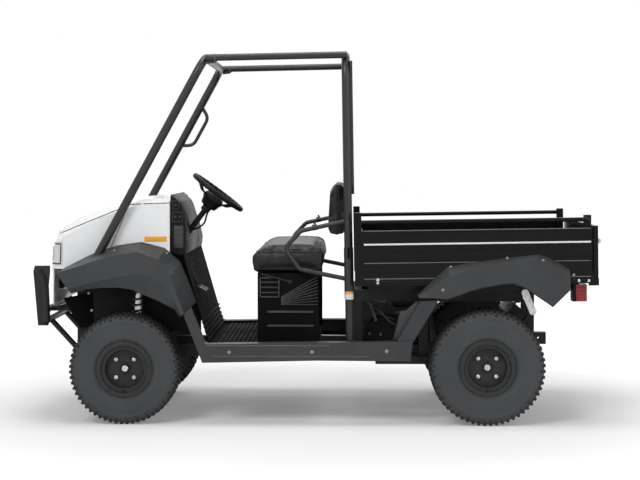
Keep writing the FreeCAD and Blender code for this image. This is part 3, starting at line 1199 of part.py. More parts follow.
def bed_rails():
    front_x = (BED_X[1] + SEAT_GAP, BED_X[1] + SEAT_GAP + BED_POST_X)
    rear_x = (BED_X[0] - SEAT_GAP, BED_X[0] + BED_POST_X - SEAT_GAP)
    middle = (front_x[0] + front_x[1]) / 2
    corner = (rear_x[0] + rear_x[1]) / 2
    front_post = box(front_x, (BED_HALF - BED_POST_Y, BED_HALF), (BED_BASE_Z, BED_FRONT_POST_TOP))
    rear_post = box(rear_x, BED_REAR_POST_Y, (BED_FLOOR_Z + SEAT_GAP, BED_REAR_POST_TOP))
    inside = sum(BED_REAR_POST_Y) / 2
    rail = bent_pipe([(middle, BED_RAIL_Y, BED_RAIL_Z), (corner, BED_RAIL_Y, BED_RAIL_Z), (corner, inside, BED_RAIL_Z)],
                     BED_RAIL_RADIUS, BED_RAIL_BEND)
    cross = rod((middle, -BED_RAIL_Y, BED_RAIL_Z), (middle, BED_RAIL_Y, BED_RAIL_Z), BED_RAIL_RADIUS)
    return raked(joined(both_sides(front_post) + both_sides(rear_post) + both_sides(rail) + [cross]))


def tilt_lug(side, low):
    x, z = TILT_HINGE
    offset = TILT_LUG_THICK + PIN_GAP if low else 0
    y = around(side * (TILT_LUG_Y + offset), TILT_LUG_THICK)
    eye = rod((x, y[0], z), (x, y[1], z), TILT_LUG_RADIUS)
    return eye, y


def frame_lugs():
    pieces = []
    for side in (1, -1):
        eye, y = tilt_lug(side, True)
        x, z = TILT_HINGE
        web = box(around(x, TILT_LUG_RADIUS * 2), y, (UPPER_RAIL_Z[0], z))
        pin = rod((x, side * (TILT_LUG_Y - TILT_LUG_THICK / 2), z), (x, side * (TILT_LUG_Y + TILT_LUG_THICK * 1.5), z), TILT_PIN_RADIUS)
        pieces += [eye, web, pin]
    return pieces


def bed_lugs():
    pieces = []
    for side in (1, -1):
        eye, y = tilt_lug(side, False)
        x, z = TILT_HINGE
        web = box(around(x, TILT_LUG_RADIUS * 2), y, (z, BED_BASE_Z + SHEET_WALL))
        hole = rod((x, y[0] - OVERRUN, z), (x, y[1] + OVERRUN, z), TILT_PIN_RADIUS + PIN_GAP)
        pieces.append(joined([eye, web]).cut(hole))
    return pieces


def tailgate_pin(radius, y):
    return both_sides(rod((TAILGATE_HINGE[0], y[0], TAILGATE_HINGE[1]), (TAILGATE_HINGE[0], y[1], TAILGATE_HINGE[1]), radius))


def tailgate():
    half = BED_HALF - BED_POST_Y / 2
    top = BED_PANEL_TOP + TAILGATE_RIB
    pieces = [box((TAILGATE_X - SHEET_WALL, TAILGATE_X), spread(half), (TAILGATE_BASE_Z, top))]
    depth = (TAILGATE_X - TAILGATE_THICK, TAILGATE_X)
    lowest = TAILGATE_BASE_Z + TAILGATE_RIB
    for share in TAILGATE_RIB_SHARES:
        z = lowest + (BED_PANEL_TOP - lowest) * share
        pieces.append(box(depth, spread(half), around(z, TAILGATE_RIB * 2)))
    pieces += both_sides(box(depth, around(half - TAILGATE_RIB, TAILGATE_RIB * 2), (TAILGATE_BASE_Z, top)))
    bores = tailgate_pin(TAILGATE_PIN_RADIUS + PIN_GAP, (half - TAILGATE_PIN_DEPTH, half + OVERRUN))
    return raked(joined(pieces).cut(Part.makeCompound(bores)))


def tail_lamps():
    return raked(Part.makeCompound(both_sides(box(TAIL_LAMP_X, TAIL_LAMP_Y, TAIL_LAMP_Z))))


def tail_lamp_brackets():
    plate = box(LAMP_BRACKET_X, (TAIL_LAMP_Y[0], TAIL_LAMP_Y[1]), (TAIL_LAMP_Z[0], BED_BASE_Z - SEAT_GAP))
    return raked(Part.makeCompound(both_sides(plate)))


def wheels():
    rows = {}
    for name, x, radius, width, track in (("front", FRONT_AXLE_X, FRONT_TYRE_RADIUS, FRONT_TYRE_WIDTH, FRONT_TRACK),
                                          ("rear", REAR_AXLE_X, REAR_TYRE_RADIUS, REAR_TYRE_WIDTH, REAR_TRACK)):
        for side, label in ((1, "left"), (-1, "right")):
            centre = (x, side * track / 2, radius)
            rows[f"tyre_{name}_{label}"] = tyre(centre, radius, width, side)
            rows[f"rim_{name}_{label}"] = rim(centre, width, side)
    return rows


def build():
    skin = nose_skin().cut(fender_keepout(SEAT_GAP))
    keep = rear_hoop(CAGE_RADIUS + SEAT_GAP)
    sides = side_panels(skin)
    nodes = {
        "main_frame": main_frame(),
        "rear_frame": rear_frame(),
        "front_frame": front_frame(),
        "hitch_receiver": hitch(),
        "front_guard": front_guard(),
        "rack_housing": rack_housing(),
        "tie_rods": tie_rods(),
        "front_lower_arms": Part.makeCompound(both_sides(lower_arms())),
        "knuckle_left": knuckle(),
        "knuckle_right": mirrored(knuckle()),
        "strut_spring_left": strut_spring(),
        "strut_spring_right": mirrored(strut_spring()),
        "rear_axle": rear_axle(),
        "leaf_springs": leaf_springs(),
        "spring_shackles": shackles(),
        "engine": engine(),
        "belt_cover": belt_cover(),
        "muffler": muffler(),
        "radiator": radiator(),
        "hood": hood(skin),
        "front_face": front_face(skin),
        "side_panels": sides,
        "grille": grille(),
        "headlamps": headlamps(),
        "front_fender_left": front_fender(),
        "front_fender_right": mirrored(front_fender()),
        "sill_left": sill(),
        "sill_right": mirrored(sill()),
        "rear_leg_covers": Part.makeCompound(both_sides(rear_leg_cover())),
        "mud_flaps": mud_flaps(),
        "floor_pan": floor_pan(),
        "toe_board": toe_board(),
        "dash": dash(),
        "steering_column": steering_column(),
        "steering_wheel": steering_wheel(),
        "seat_base": seat_base(),
        "seat_cushion": seat_cushion(),
        "seat_back_left": seat_back(),
        "seat_back_right": mirrored(seat_back()),
        "cage_front": cage_front().cut(keep),
        "cage_rear": cage_rear(),
        "rear_screen": rear_screen(),
        "hip_guards": Part.makeCompound(both_sides(hip_guard().cut(keep))),
        "grab_handle": grab_handle(),
        "bed_tub": bed_tub(),
        "bed_rails": bed_rails(),
        "tailgate": tailgate(),
        "rear_fender_left": rear_fender(),
        "rear_fender_right": mirrored(rear_fender()),
        "tail_lamps": tail_lamps(),
        "tail_lamp_brackets": tail_lamp_brackets(),
    }
    nodes.update(wheels())
    return nodes


os.makedirs("parts", exist_ok=True)
for name, shape in build().items():
    shape.exportStep(f"parts/{name}.step")
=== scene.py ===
# %% [markdown]
# # A side by side utility vehicle, dressed for its picture
# The mechanical model comes ready as a fixed frame: every tube, panel and wheel is in its place, in metres,
# with +X to the front, +Y to the vehicle's left and +Z up. This lesson adds what a maker's drawing leaves
# out: tread, seams, bolts, padding and the finish of every surface.

# %% Load the frame
import json
import math
import bmesh
import bpy
from mathutils import Matrix, Vector
from mathutils.bvhtree import BVHTree


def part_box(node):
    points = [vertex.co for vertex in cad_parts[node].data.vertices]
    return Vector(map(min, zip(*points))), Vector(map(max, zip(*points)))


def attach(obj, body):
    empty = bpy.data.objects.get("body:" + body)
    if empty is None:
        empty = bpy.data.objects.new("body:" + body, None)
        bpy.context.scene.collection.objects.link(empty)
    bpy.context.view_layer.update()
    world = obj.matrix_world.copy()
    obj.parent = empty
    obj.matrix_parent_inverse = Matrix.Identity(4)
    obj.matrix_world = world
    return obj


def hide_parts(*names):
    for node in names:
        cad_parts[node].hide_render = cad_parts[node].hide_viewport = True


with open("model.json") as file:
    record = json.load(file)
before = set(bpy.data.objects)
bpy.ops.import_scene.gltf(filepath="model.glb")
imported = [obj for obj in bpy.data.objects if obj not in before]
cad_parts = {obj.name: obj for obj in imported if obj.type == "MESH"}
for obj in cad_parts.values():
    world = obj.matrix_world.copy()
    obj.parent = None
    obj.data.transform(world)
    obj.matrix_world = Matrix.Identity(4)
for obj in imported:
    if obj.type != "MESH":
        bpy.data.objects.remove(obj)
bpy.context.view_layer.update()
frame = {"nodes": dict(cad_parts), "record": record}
nodes = frame["nodes"]
X_AXIS, Y_AXIS, Z_AXIS = Vector((1, 0, 0)), Vector((0, 1, 0)), Vector((0, 0, 1))
SIDES = {"left": 1, "right": -1}
joints = {joint["name"]: joint for joint in frame["record"]["behaviour"]["joints"]}

# %% [markdown]
# ## The camera
# A side view from far away keeps the wheels round and the lines straight. The camera stands nearly ten
# metres from the near side, at chest height, and looks a little down, so the far wheels peep out
# behind the near ones. An orthographic camera would hide them fully. It is aimed at a point on the near side
# rather than shifted, because a shifted lens stretches what stands at the picture's edge.

# %% Camera
CAMERA_SPOT = Vector((-0.1835, 9.92, 1.367))
PICTURE_WIDTH_PX = 640
FOCAL_PX = 1804
AIM_PX = (28, -81)
SENSOR_MM = 36.0

camera_data = bpy.data.cameras.new("camera")
camera_data.sensor_width = SENSOR_MM
camera_data.lens = SENSOR_MM * FOCAL_PX / PICTURE_WIDTH_PX
camera = bpy.data.objects.new("camera", camera_data)
bpy.context.scene.collection.objects.link(camera)
camera.location = CAMERA_SPOT
camera.rotation_mode = "QUATERNION"
aim = Vector((AIM_PX[0] / FOCAL_PX, -1, AIM_PX[1] / FOCAL_PX))
camera.rotation_quaternion = aim.to_track_quat("-Z", "Y")
bpy.context.scene.camera = camera
bpy.context.scene.view_settings.view_transform = "Standard"
print("camera lens:", round(camera_data.lens, 1), "mm")

# %% [markdown]
# ## The floor
# The object stands on a plain white floor that keeps a soft shadow. A shadow catcher would need a compositor,
# so the floor is white paper near the object and glows white further out. The glow is for the camera's own
# rays only, and lights nothing, so pale paint on the object isn't burnt out.

# %% Floor
FLOOR_HALF = 30.0
FLOOR_COLOUR = (0.9, 0.9, 0.9, 1)
FLOOR_ROUGHNESS = 0.85
FLOOR_GLOW_SHARE = 0.16
FLOOR_GLOW_STRENGTH = 1.12
SHADOW_REACH = (1.6, 2.9)


def seen_directly(tree):
    """A value of one for rays from the camera, from glossy surfaces and through clear ones."""
    path = tree.nodes.new("ShaderNodeLightPath")
    total = path.outputs["Is Camera Ray"]
    for kind in ("Is Glossy Ray", "Is Transmission Ray"):
        add = tree.nodes.new("ShaderNodeMath")
        add.operation = "MAXIMUM"
        tree.links.new(total, add.inputs[0])
        tree.links.new(path.outputs[kind], add.inputs[1])
        total = add.outputs[0]
    return total


def glow_share(tree):
    """The glow's share of the floor: low near the middle, one beyond the shadow's reach."""
    place = tree.nodes.new("ShaderNodeTexCoord")
    distance = tree.nodes.new("ShaderNodeVectorMath")
    distance.operation = "LENGTH"
    tree.links.new(place.outputs["Object"], distance.inputs[0])
    fade = tree.nodes.new("ShaderNodeMapRange")
    fade.interpolation_type = "SMOOTHSTEP"
    fade.inputs["From Min"].default_value = SHADOW_REACH[0]
    fade.inputs["From Max"].default_value = SHADOW_REACH[1]
    fade.inputs["To Min"].default_value = FLOOR_GLOW_SHARE
    fade.inputs["To Max"].default_value = 1
    tree.links.new(distance.outputs["Value"], fade.inputs["Value"])
    return fade.outputs["Result"]


def floor_finish():
    finish = bpy.data.materials.new("studio_floor")
    finish.use_nodes = True
    tree = finish.node_tree
    paper = tree.nodes["Principled BSDF"]
    paper.inputs["Base Color"].default_value = FLOOR_COLOUR
    paper.inputs["Roughness"].default_value = FLOOR_ROUGHNESS
    glow = tree.nodes.new("ShaderNodeEmission")
    glow.inputs["Strength"].default_value = FLOOR_GLOW_STRENGTH
    share = tree.nodes.new("ShaderNodeMath")
    share.operation = "MULTIPLY"
    tree.links.new(seen_directly(tree), share.inputs[0])
    tree.links.new(glow_share(tree), share.inputs[1])
    mix = tree.nodes.new("ShaderNodeMixShader")
    tree.links.new(share.outputs[0], mix.inputs["Fac"])
    tree.links.new(paper.outputs[0], mix.inputs[1])
    tree.links.new(glow.outputs[0], mix.inputs[2])
    tree.links.new(mix.outputs[0], tree.nodes["Material Output"].inputs["Surface"])
    return finish


floor_bm = bmesh.new()
bmesh.ops.create_grid(floor_bm, x_segments=1, y_segments=1, size=FLOOR_HALF)
floor_mesh = bpy.data.meshes.new("studio_floor")
floor_bm.to_mesh(floor_mesh)
floor_bm.free()
floor = bpy.data.objects.new("studio_floor", floor_mesh)
floor_mesh.materials.append(floor_finish())
bpy.context.scene.collection.objects.link(floor)
print("floor:", 2 * FLOOR_HALF, "m wide")

# %% [markdown]
# ## Backdrop and lamps
# The sky has two strengths: full white where the camera looks at it, and a weak one that fills the shadows.
# Four round lamps light the object: the key from the near front, a fill from the near rear, one behind that
# draws the roof's edges, and a large one overhead. Round lamps give round highlights on tubes and tyres.

# %% Backdrop and lamps
AMBIENT = 0.32
LAMP_TARGET = Vector((0, 0, 0.8))
LAMPS = {
    "key": {"spot": (3.5, 7.5, 7.0), "size": 3.5, "power": 350},
    "fill": {"spot": (-6.0, 6.0, 3.5), "size": 5.0, "power": 120},
    "back": {"spot": (-1.0, -7.0, 6.0), "size": 6.0, "power": 140},
    "top": {"spot": (0.0, 0.5, 7.5), "size": 4.0, "power": 230},
}
world = bpy.data.worlds.new("studio")
world.use_nodes = True
bpy.context.scene.world = world
sky_tree = world.node_tree
sky = sky_tree.nodes["Background"]
sky.inputs["Strength"].default_value = AMBIENT
bright = sky_tree.nodes.new("ShaderNodeBackground")
for surface in (sky, bright):
    surface.inputs["Color"].default_value = (1, 1, 1, 1)
pick = sky_tree.nodes.new("ShaderNodeMixShader")
sky_tree.links.new(seen_directly(sky_tree), pick.inputs["Fac"])
sky_tree.links.new(sky.outputs[0], pick.inputs[1])
sky_tree.links.new(bright.outputs[0], pick.inputs[2])
sky_tree.links.new(pick.outputs[0], sky_tree.nodes["World Output"].inputs["Surface"])

for lamp_name, lamp in LAMPS.items():
    light = bpy.data.lights.new(lamp_name, "AREA")
    light.shape = "DISK"
    light.size = lamp["size"]
    light.energy = lamp["power"]
    stand = bpy.data.objects.new(lamp_name, light)
    bpy.context.scene.collection.objects.link(stand)
    stand.location = lamp["spot"]
    stand.rotation_mode = "QUATERNION"
    stand.rotation_quaternion = (LAMP_TARGET - stand.location).to_track_quat("-Z", "Y")
print("lamps:", ", ".join(LAMPS))

# %% [markdown]
# ## The layers of a finish
# A finish could be one flat colour, but real paint and plastic are never that even. Here each is a Principled
# shader with a few layers: a colour that drifts slightly, a roughness that isn't even, and a grain that tilts
# the surface. All of them read Object coordinates, so they stay put on the part when it moves.

# %% The layers that every finish is made of
COAT_ROUGHNESS = 0.06
NOISE_RANGE = (0.35, 0.65)


def finish_of(name, colour, roughness, metallic=0.0, coat=0.0, specular=0.5):
    material = bpy.data.materials.new(name)
    material.use_nodes = True
    surface = material.node_tree.nodes["Principled BSDF"]
    surface.inputs["Base Color"].default_value = (*colour, 1)
    surface.inputs["Roughness"].default_value = roughness
    surface.inputs["Metallic"].default_value = metallic
    surface.inputs["Coat Weight"].default_value = coat
    surface.inputs["Coat Roughness"].default_value = COAT_ROUGHNESS
    surface.inputs["Specular IOR Level"].default_value = specular
    return material


def noise(material, scale, detail):
    tree = material.node_tree
    place = tree.nodes.new("ShaderNodeTexCoord")
    texture = tree.nodes.new("ShaderNodeTexNoise")
    texture.inputs["Scale"].default_value = scale
    texture.inputs["Detail"].default_value = detail
    tree.links.new(place.outputs["Object"], texture.inputs["Vector"])
    return texture.outputs["Fac"]


def ranged(material, value, low, high):
    """The middle range of a noise, stretched to run from low to high."""
    span = material.node_tree.nodes.new("ShaderNodeMapRange")
    span.inputs["From Min"].default_value = NOISE_RANGE[0]
    span.inputs["From Max"].default_value = NOISE_RANGE[1]
    span.inputs["To Min"].default_value = low
    span.inputs["To Max"].default_value = high
    material.node_tree.links.new(value, span.inputs["Value"])
    return span.outputs["Result"]


def drifting_colour(material, first, second, scale):
    """Two near colours mixed by a broad noise. Sockets 6 and 7 are the mix node's two colours."""
    tree = material.node_tree
    mix = tree.nodes.new("ShaderNodeMix")
    mix.data_type = "RGBA"
    mix.inputs[6].default_value = (*first, 1)
    mix.inputs[7].default_value = (*second, 1)
    tree.links.new(ranged(material, noise(material, scale, 4.0), 0, 1), mix.inputs[0])
    tree.links.new(mix.outputs[2], tree.nodes["Principled BSDF"].inputs["Base Color"])


def uneven_roughness(material, middle, swing, scale):
    """A roughness that wanders by a share of itself to each side."""
    tree = material.node_tree
    value = ranged(material, noise(material, scale, 3.0), middle * (1 - swing), middle * (1 + swing))
    tree.links.new(value, tree.nodes["Principled BSDF"].inputs["Roughness"])


def grain(material, scale, depth, strength, detail, edge):
    """Fine relief from noise, laid over edges that are rounded off by the given radius."""
    tree = material.node_tree
    bump = tree.nodes.new("ShaderNodeBump")
    bump.inputs["Strength"].default_value = strength
    bump.inputs["Distance"].default_value = depth
    tree.links.new(noise(material, scale, detail), bump.inputs["Height"])
    rounded = tree.nodes.new("ShaderNodeBevel")
    rounded.samples = 4
    rounded.inputs["Radius"].default_value = edge
    tree.links.new(rounded.outputs["Normal"], bump.inputs["Normal"])
    tree.links.new(bump.outputs["Normal"], tree.nodes["Principled BSDF"].inputs["Normal"])


print("layers: colour, roughness and grain")

# %% [markdown]
# ## Paint, plastic and metal
# Three families cover the vehicle. Powder coated steel is nearly even, with faint orange peel. Moulded
# plastic has a leather-like grain that breaks its highlights up. Bare metal reflects, and its sheen
# varies most. Each family is one function, so a new colour is one line and all its members age alike.

# %% The three families
PAINT_SCALES = {"drift": 3.0, "sheen": 25.0, "peel": 260.0}
PLASTIC_SCALES = {"drift": 6.0, "sheen": 40.0, "grain": 700.0}
METAL_SCALES = {"drift": 30.0, "sheen": 60.0, "grain": 300.0}
PAINT_SWING, PLASTIC_SWING, METAL_SWING = 0.15, 0.12, 0.3


def painted(name, colour, drift, roughness, coat=0.0, orange_peel=0.0002, specular=0.25):
    """Sprayed or powder coated metal: nearly even, with faint orange peel."""
    material = finish_of(name, colour, roughness, coat=coat, specular=specular)
    drifting_colour(material, colour, drift, PAINT_SCALES["drift"])
    uneven_roughness(material, roughness, PAINT_SWING, PAINT_SCALES["sheen"])
    grain(material, PAINT_SCALES["peel"], orange_peel, strength=0.25, detail=2.0, edge=0.002)
    return material


def moulded(name, colour, drift, roughness, grain_size=PLASTIC_SCALES["grain"], depth=0.0003, edge=0.003,
            specular=0.25):
    """Moulded plastic or rubber with a leather-like grain and a slightly uneven sheen."""
    material = finish_of(name, colour, roughness, specular=specular)
    drifting_colour(material, colour, drift, PLASTIC_SCALES["drift"])
    uneven_roughness(material, roughness, PLASTIC_SWING, PLASTIC_SCALES["sheen"])
    grain(material, grain_size, depth, strength=0.45, detail=3.0, edge=edge)
    return material


def metal(name, colour, drift, roughness):
    """Bare metal with a sheen that varies."""
    material = finish_of(name, colour, roughness, metallic=1.0)
    drifting_colour(material, colour, drift, METAL_SCALES["drift"])
    uneven_roughness(material, roughness, METAL_SWING, METAL_SCALES["sheen"])
    grain(material, METAL_SCALES["grain"], depth=0.0002, strength=0.3, detail=2.0, edge=0.0015)
    return material


print("families: painted, moulded, metal")

# %% [markdown]
# ## The vehicle's own finishes
# Black and grey look alike on a drawing, but here they differ: the bed is glossy black, the fenders are matt
# grey and the cage lies between them. The tread is a darker copy of the tyres' rubber, which is painted shade.
# The colours are read from the picture and written as linear values, which look darker as numbers than on
# the screen.

# %% Paints and lenses
FINISHES = {}


def add_finish(family, name, *facts, **more):
    FINISHES[name] = family(name, *facts, **more)


add_finish(painted, "frame_paint", (0.008, 0.008, 0.009), (0.012, 0.012, 0.013), 0.42)
add_finish(painted, "guard_paint", (0.012, 0.012, 0.013), (0.018, 0.018, 0.019), 0.36)
add_finish(painted, "cage_paint", (0.016, 0.017, 0.018), (0.021, 0.022, 0.023), 0.34, specular=0.4)
add_finish(painted, "white_body", (0.85, 0.86, 0.87), (0.87, 0.88, 0.89), 0.28, coat=0.3, orange_peel=0.00002)
add_finish(painted, "bed_paint", (0.0025, 0.0025, 0.003), (0.0035, 0.0035, 0.004), 0.22, specular=0.16)
add_finish(painted, "rim_paint", (0.022, 0.023, 0.024), (0.028, 0.029, 0.030), 0.42)
# A lighter copy of the rim paint for the pressed rings: a painted highlight.
add_finish(painted, "rim_ring_highlight", (0.05, 0.052, 0.054), (0.06, 0.062, 0.064), 0.4)
# A near-white paint for the painted reflection along the bed's ledge.
add_finish(painted, "bed_reflection_white", (0.74, 0.75, 0.76), (0.78, 0.79, 0.80), 0.3)
# Grey for the weld collars and the engine cables, and for the fainter painted highlights along the bed.
add_finish(painted, "line_grey", (0.11, 0.111, 0.112), (0.14, 0.141, 0.142), 0.3)
add_finish(painted, "dull_steel", (0.24, 0.24, 0.24), (0.30, 0.30, 0.30), 0.35, specular=0.6)
add_finish(painted, "coil_paint", (0.012, 0.012, 0.013), (0.018, 0.018, 0.019), 0.2, specular=0.5)
# Near-black for the slot in the rear post's sleeve: painted shade.
add_finish(painted, "slot_shade_black", (0.002, 0.002, 0.002), (0.003, 0.003, 0.003), 0.7, specular=0.05)
add_finish(painted, "decal_white", (0.72, 0.72, 0.71), (0.76, 0.76, 0.75), 0.4)
add_finish(painted, "headlamp_lens", (0.66, 0.67, 0.68), (0.72, 0.73, 0.74), 0.12, coat=0.6)
add_finish(painted, "tail_lamp_lens", (0.30, 0.008, 0.012), (0.38, 0.012, 0.016), 0.16, coat=0.4)
add_finish(painted, "amber", (0.88, 0.36, 0.012), (0.92, 0.41, 0.02), 0.18, coat=0.5)
print("paints and lenses:", len(FINISHES))

# %% Plastics, rubbers and metals
add_finish(moulded, "grey_plastic", (0.036, 0.038, 0.040), (0.043, 0.045, 0.047), 0.46)
# A lighter grey for the sill lines; on the sill's fold it is a painted highlight.
add_finish(moulded, "grey_light", (0.10, 0.103, 0.106), (0.12, 0.123, 0.126), 0.5)
add_finish(moulded, "black_plastic", (0.0045, 0.0045, 0.005), (0.007, 0.007, 0.0075), 0.5, specular=0.14)
# A touch lighter than black_plastic, so raised trims show their edges: a painted highlight.
add_finish(moulded, "trim_black", (0.016, 0.016, 0.017), (0.022, 0.022, 0.023), 0.36, specular=0.5)
add_finish(moulded, "rib_black", (0.012, 0.012, 0.0125), (0.017, 0.017, 0.0175), 0.8, specular=0.06)
add_finish(moulded, "matt_black", (0.006, 0.006, 0.0065), (0.009, 0.009, 0.0095), 0.85, specular=0.02)
add_finish(moulded, "seat_vinyl", (0.010, 0.010, 0.0105), (0.014, 0.014, 0.0145), 0.46, 420.0, 0.0005)
add_finish(moulded, "tyre_rubber", (0.048, 0.050, 0.053), (0.058, 0.060, 0.064), 0.62, 300.0, 0.0004, 0.0015)
# A darker copy of tyre_rubber for the tread blocks: painted shade.
add_finish(moulded, "tread_shaded_rubber", (0.018, 0.019, 0.020), (0.026, 0.027, 0.028), 0.7, 260.0, 0.0005, 0.0012)
add_finish(metal, "bright_steel", (0.62, 0.62, 0.61), (0.5, 0.5, 0.49), 0.32)
add_finish(metal, "cast_metal", (0.05, 0.05, 0.052), (0.03, 0.03, 0.032), 0.5)
print("finishes in all:", len(FINISHES))

# %% [markdown]
# ## Dressing the frame's own nodes
# The frame's nodes may get a finish but are never moved or reshaped. The record says which slot each node
# has. Four of them lie in the cab's shade, where boots and mud keep them dull, so they get the matt black.

# %% Finishes on the frame's nodes
MATT = ("toe_board", "floor_pan", "mud_flaps", "seat_base")
for entry in frame["record"]["subparts"]:
    mesh = nodes[entry["node"]].data
    mesh.materials.clear()
    mesh.materials.append(FINISHES["matt_black" if entry["node"] in MATT else entry["material_slot"]])

# %% [markdown]
# ## Tools for building pieces
# The small pieces are drawn in millimetres, as on a drawing, and turned into metres when they are made. Each
# tool adds one plain form to a bmesh: a plate from an outline, a bent tube, a turned ring. They could be
# objects with modifiers, but a bmesh holds many forms at once, so what is alike becomes one piece.

# %% Boxes and plates
MM = 0.001


def mm(*place):
    return Vector(place) * MM


def round_edges(bm, verts, edge, segments=2):
    if edge:
        edges = list({e for v in verts for e in v.link_edges})
        bmesh.ops.bevel(bm, geom=edges, offset=edge * MM, segments=segments, profile=0.5,
                        affect="EDGES", material=-1)


def block(bm, x, y, z, edge=0.0):
    """A box between two values on each axis, its edges rounded by the given radius."""
    centre = mm(sum(x) / 2, sum(y) / 2, sum(z) / 2)
    size = Matrix.Diagonal((*mm(x[1] - x[0], y[1] - y[0], z[1] - z[0]), 1))
    made = bmesh.ops.create_cube(bm, size=1, matrix=Matrix.Translation(centre) @ size)
    round_edges(bm, made["verts"], edge)
    return made["verts"]


def plate(bm, outline, y, edge=0.0):
    """A sheet cut to an outline of x and z, from one y to the other."""
    face = bm.faces.new([bm.verts.new(mm(x, y[0], z)) for x, z in outline])
    moved = bmesh.ops.extrude_face_region(bm, geom=[face])["geom"]
    far = [g for g in moved if isinstance(g, bmesh.types.BMVert)]
    bmesh.ops.translate(bm, verts=far, vec=mm(0, y[1] - y[0], 0))
    round_edges(bm, list(face.verts) + far, edge)


def hull(bm, corners, edge=0.0):
    """The smallest solid round some corners."""
    verts = [bm.verts.new(corner * MM) for corner in corners]
    bmesh.ops.convex_hull(bm, input=verts)
    round_edges(bm, verts, edge)


def standing(y, side, sunk, proud):
    """The two y values of what is sunk into a side face and stands proud of it."""
    return sorted((y - side * sunk, y + side * proud))


print("boxes, plates and hulls ready")

# %% Rods, tubes and turned forms
TURNS = 64
AXLE_POLE = 0.5
BEND_SHARE = 0.48


def upright(direction):
    """The turn that lays the Z axis along a direction."""
    return direction.to_track_quat("Z", "Y").to_matrix().to_4x4()


def rod(bm, start, end, radius, sides=20, end_radius=None):
    start, end = mm(*start), mm(*end)
    line = end - start
    place = Matrix.Translation((start + end) / 2) @ upright(line)
    narrow = radius if end_radius is None else end_radius
    bmesh.ops.create_cone(bm, cap_ends=True, segments=sides, radius1=radius * MM, radius2=narrow * MM,
                          depth=line.length, matrix=place)


def bent(points, bend, steps=6):
    """The centre line of a bent tube: straight runs with a round turn at each corner."""
    path = [Vector(points[0])]
    for before, corner, after in zip(points, points[1:], points[2:]):
        corner = Vector(corner)
        back, on = Vector(before) - corner, Vector(after) - corner
        reach = min(bend, back.length * BEND_SHARE, on.length * BEND_SHARE)
        start, end = corner + back.normalized() * reach, corner + on.normalized() * reach
        for step in range(steps + 1):
            t = step / steps
            path.append(start * (1 - t) ** 2 + corner * (2 * t * (1 - t)) + end * t ** 2)
    path.append(Vector(points[-1]))
    return path


def around(count):
    """Angles that part a full turn evenly."""
    return [2 * math.pi * k / count for k in range(count)]


def tube(bm, path, radius, sides=12, closed=False):
    """A round skin along a path. The radius is one number, or one for each point."""
    count = len(path)
    sizes = radius if hasattr(radius, "__len__") else [radius] * count
    rings, across = [], None
    for index, spot in enumerate(path):
        ahead = path[(index + 1) % count] if closed or index + 1 < count else spot
        behind = path[index - 1] if closed or index else spot
        direction = (Vector(ahead) - Vector(behind)).normalized()
        across = direction.orthogonal() if across is None else across - direction * across.dot(direction)
        across.normalize()
        up = direction.cross(across)
        size = sizes[index]
        ring = [Vector(spot) + (across * math.cos(a) + up * math.sin(a)) * size for a in around(sides)]
        rings.append([bm.verts.new(point * MM) for point in ring])
    pairs = list(zip(rings, rings[1:])) + ([(rings[-1], rings[0])] if closed else [])
    for first, second in pairs:
        for k in range(sides):
            bm.faces.new((first[k], first[(k + 1) % sides], second[(k + 1) % sides], second[k]))
    if not closed:
        bm.faces.new(rings[0])
        bm.faces.new(rings[-1])


def turned(bm, profile, centre, steps=TURNS, axis=Y_AXIS):
    """A closed profile of radius and height along the axis, spun once round it."""
    side = upright(axis)
    spots = [Matrix.Translation(mm(*centre)) @ side @ mm(r, 0, h) for r, h in profile]
    verts = [bm.verts.new(spot) for spot in spots]
    edges = [bm.edges.new((a, b)) for a, b in zip(verts, verts[1:] + verts[:1])]
    bmesh.ops.spin(bm, geom=verts + edges, cent=mm(*centre), axis=axis, angle=2 * math.pi, steps=steps,
                   use_merge=True)


print("rods, tubes and turned forms ready")

# %% [markdown]
# ## Bolts, pieces and places to seat them
# A bolt is a washer with a six-sided head. A piece is what a bmesh becomes when it gets a name, a finish and
# the body that it rides on. To seat a piece, a straight line is shot at the frame's surface and the piece is
# put where it lands, which holds also where a panel is curved and a typed number would float or sink.

# %% Bolts, pieces and landing places
SMOOTH_UNDER = math.radians(38)
WASHER_SHARES = (1.35, 0.25)
BOLT_CAP_SHARES = (0.8, 0.55, 1.15)
OUTSIDE = 2000.0


def hex_bolt(bm, spot, axis, radius, height):
    """A washer with a six-sided head and a low cap on it."""
    spot, axis = Vector(spot), Vector(axis)
    washer_radius, washer_height = WASHER_SHARES
    cap_foot, cap_top, cap_height = BOLT_CAP_SHARES
    rod(bm, spot, spot + axis * height * washer_height, radius * washer_radius, 24)
    rod(bm, spot, spot + axis * height, radius, 6)
    rod(bm, spot + axis * height, spot + axis * height * cap_height, radius * cap_foot, 24, radius * cap_top)


def piece(name, bm, finish, body):
    """The bmesh as a named piece that rides on a body."""
    bmesh.ops.recalc_face_normals(bm, faces=bm.faces)
    mesh = bpy.data.meshes.new(name)
    bm.to_mesh(mesh)
    bm.free()
    mesh.materials.append(FINISHES[finish])
    mesh.shade_smooth()
    mesh.set_sharp_from_angle(angle=SMOOTH_UNDER)
    made = bpy.data.objects.new(name, mesh)
    bpy.context.scene.collection.objects.link(made)
    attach(made, body)
    return made


def surface_of(*meshes):
    """A surface that straight lines can be shot at."""
    bm = bmesh.new()
    for mesh in meshes:
        bm.from_mesh(mesh)
    tree = BVHTree.FromBMesh(bm)
    bm.free()
    return tree


def skin_of(*names):
    """The surface of some of the frame's nodes, to seat a piece on."""
    return surface_of(*(nodes[name].data for name in names))


def landed(tree, x, z, side=1, otherwise=600.0):
    """The y where a straight line from the side first meets the surface, in millimetres."""
    hit = tree.ray_cast(mm(x, side * OUTSIDE, z), Y_AXIS * -side)[0]
    return hit.y / MM if hit else side * otherwise


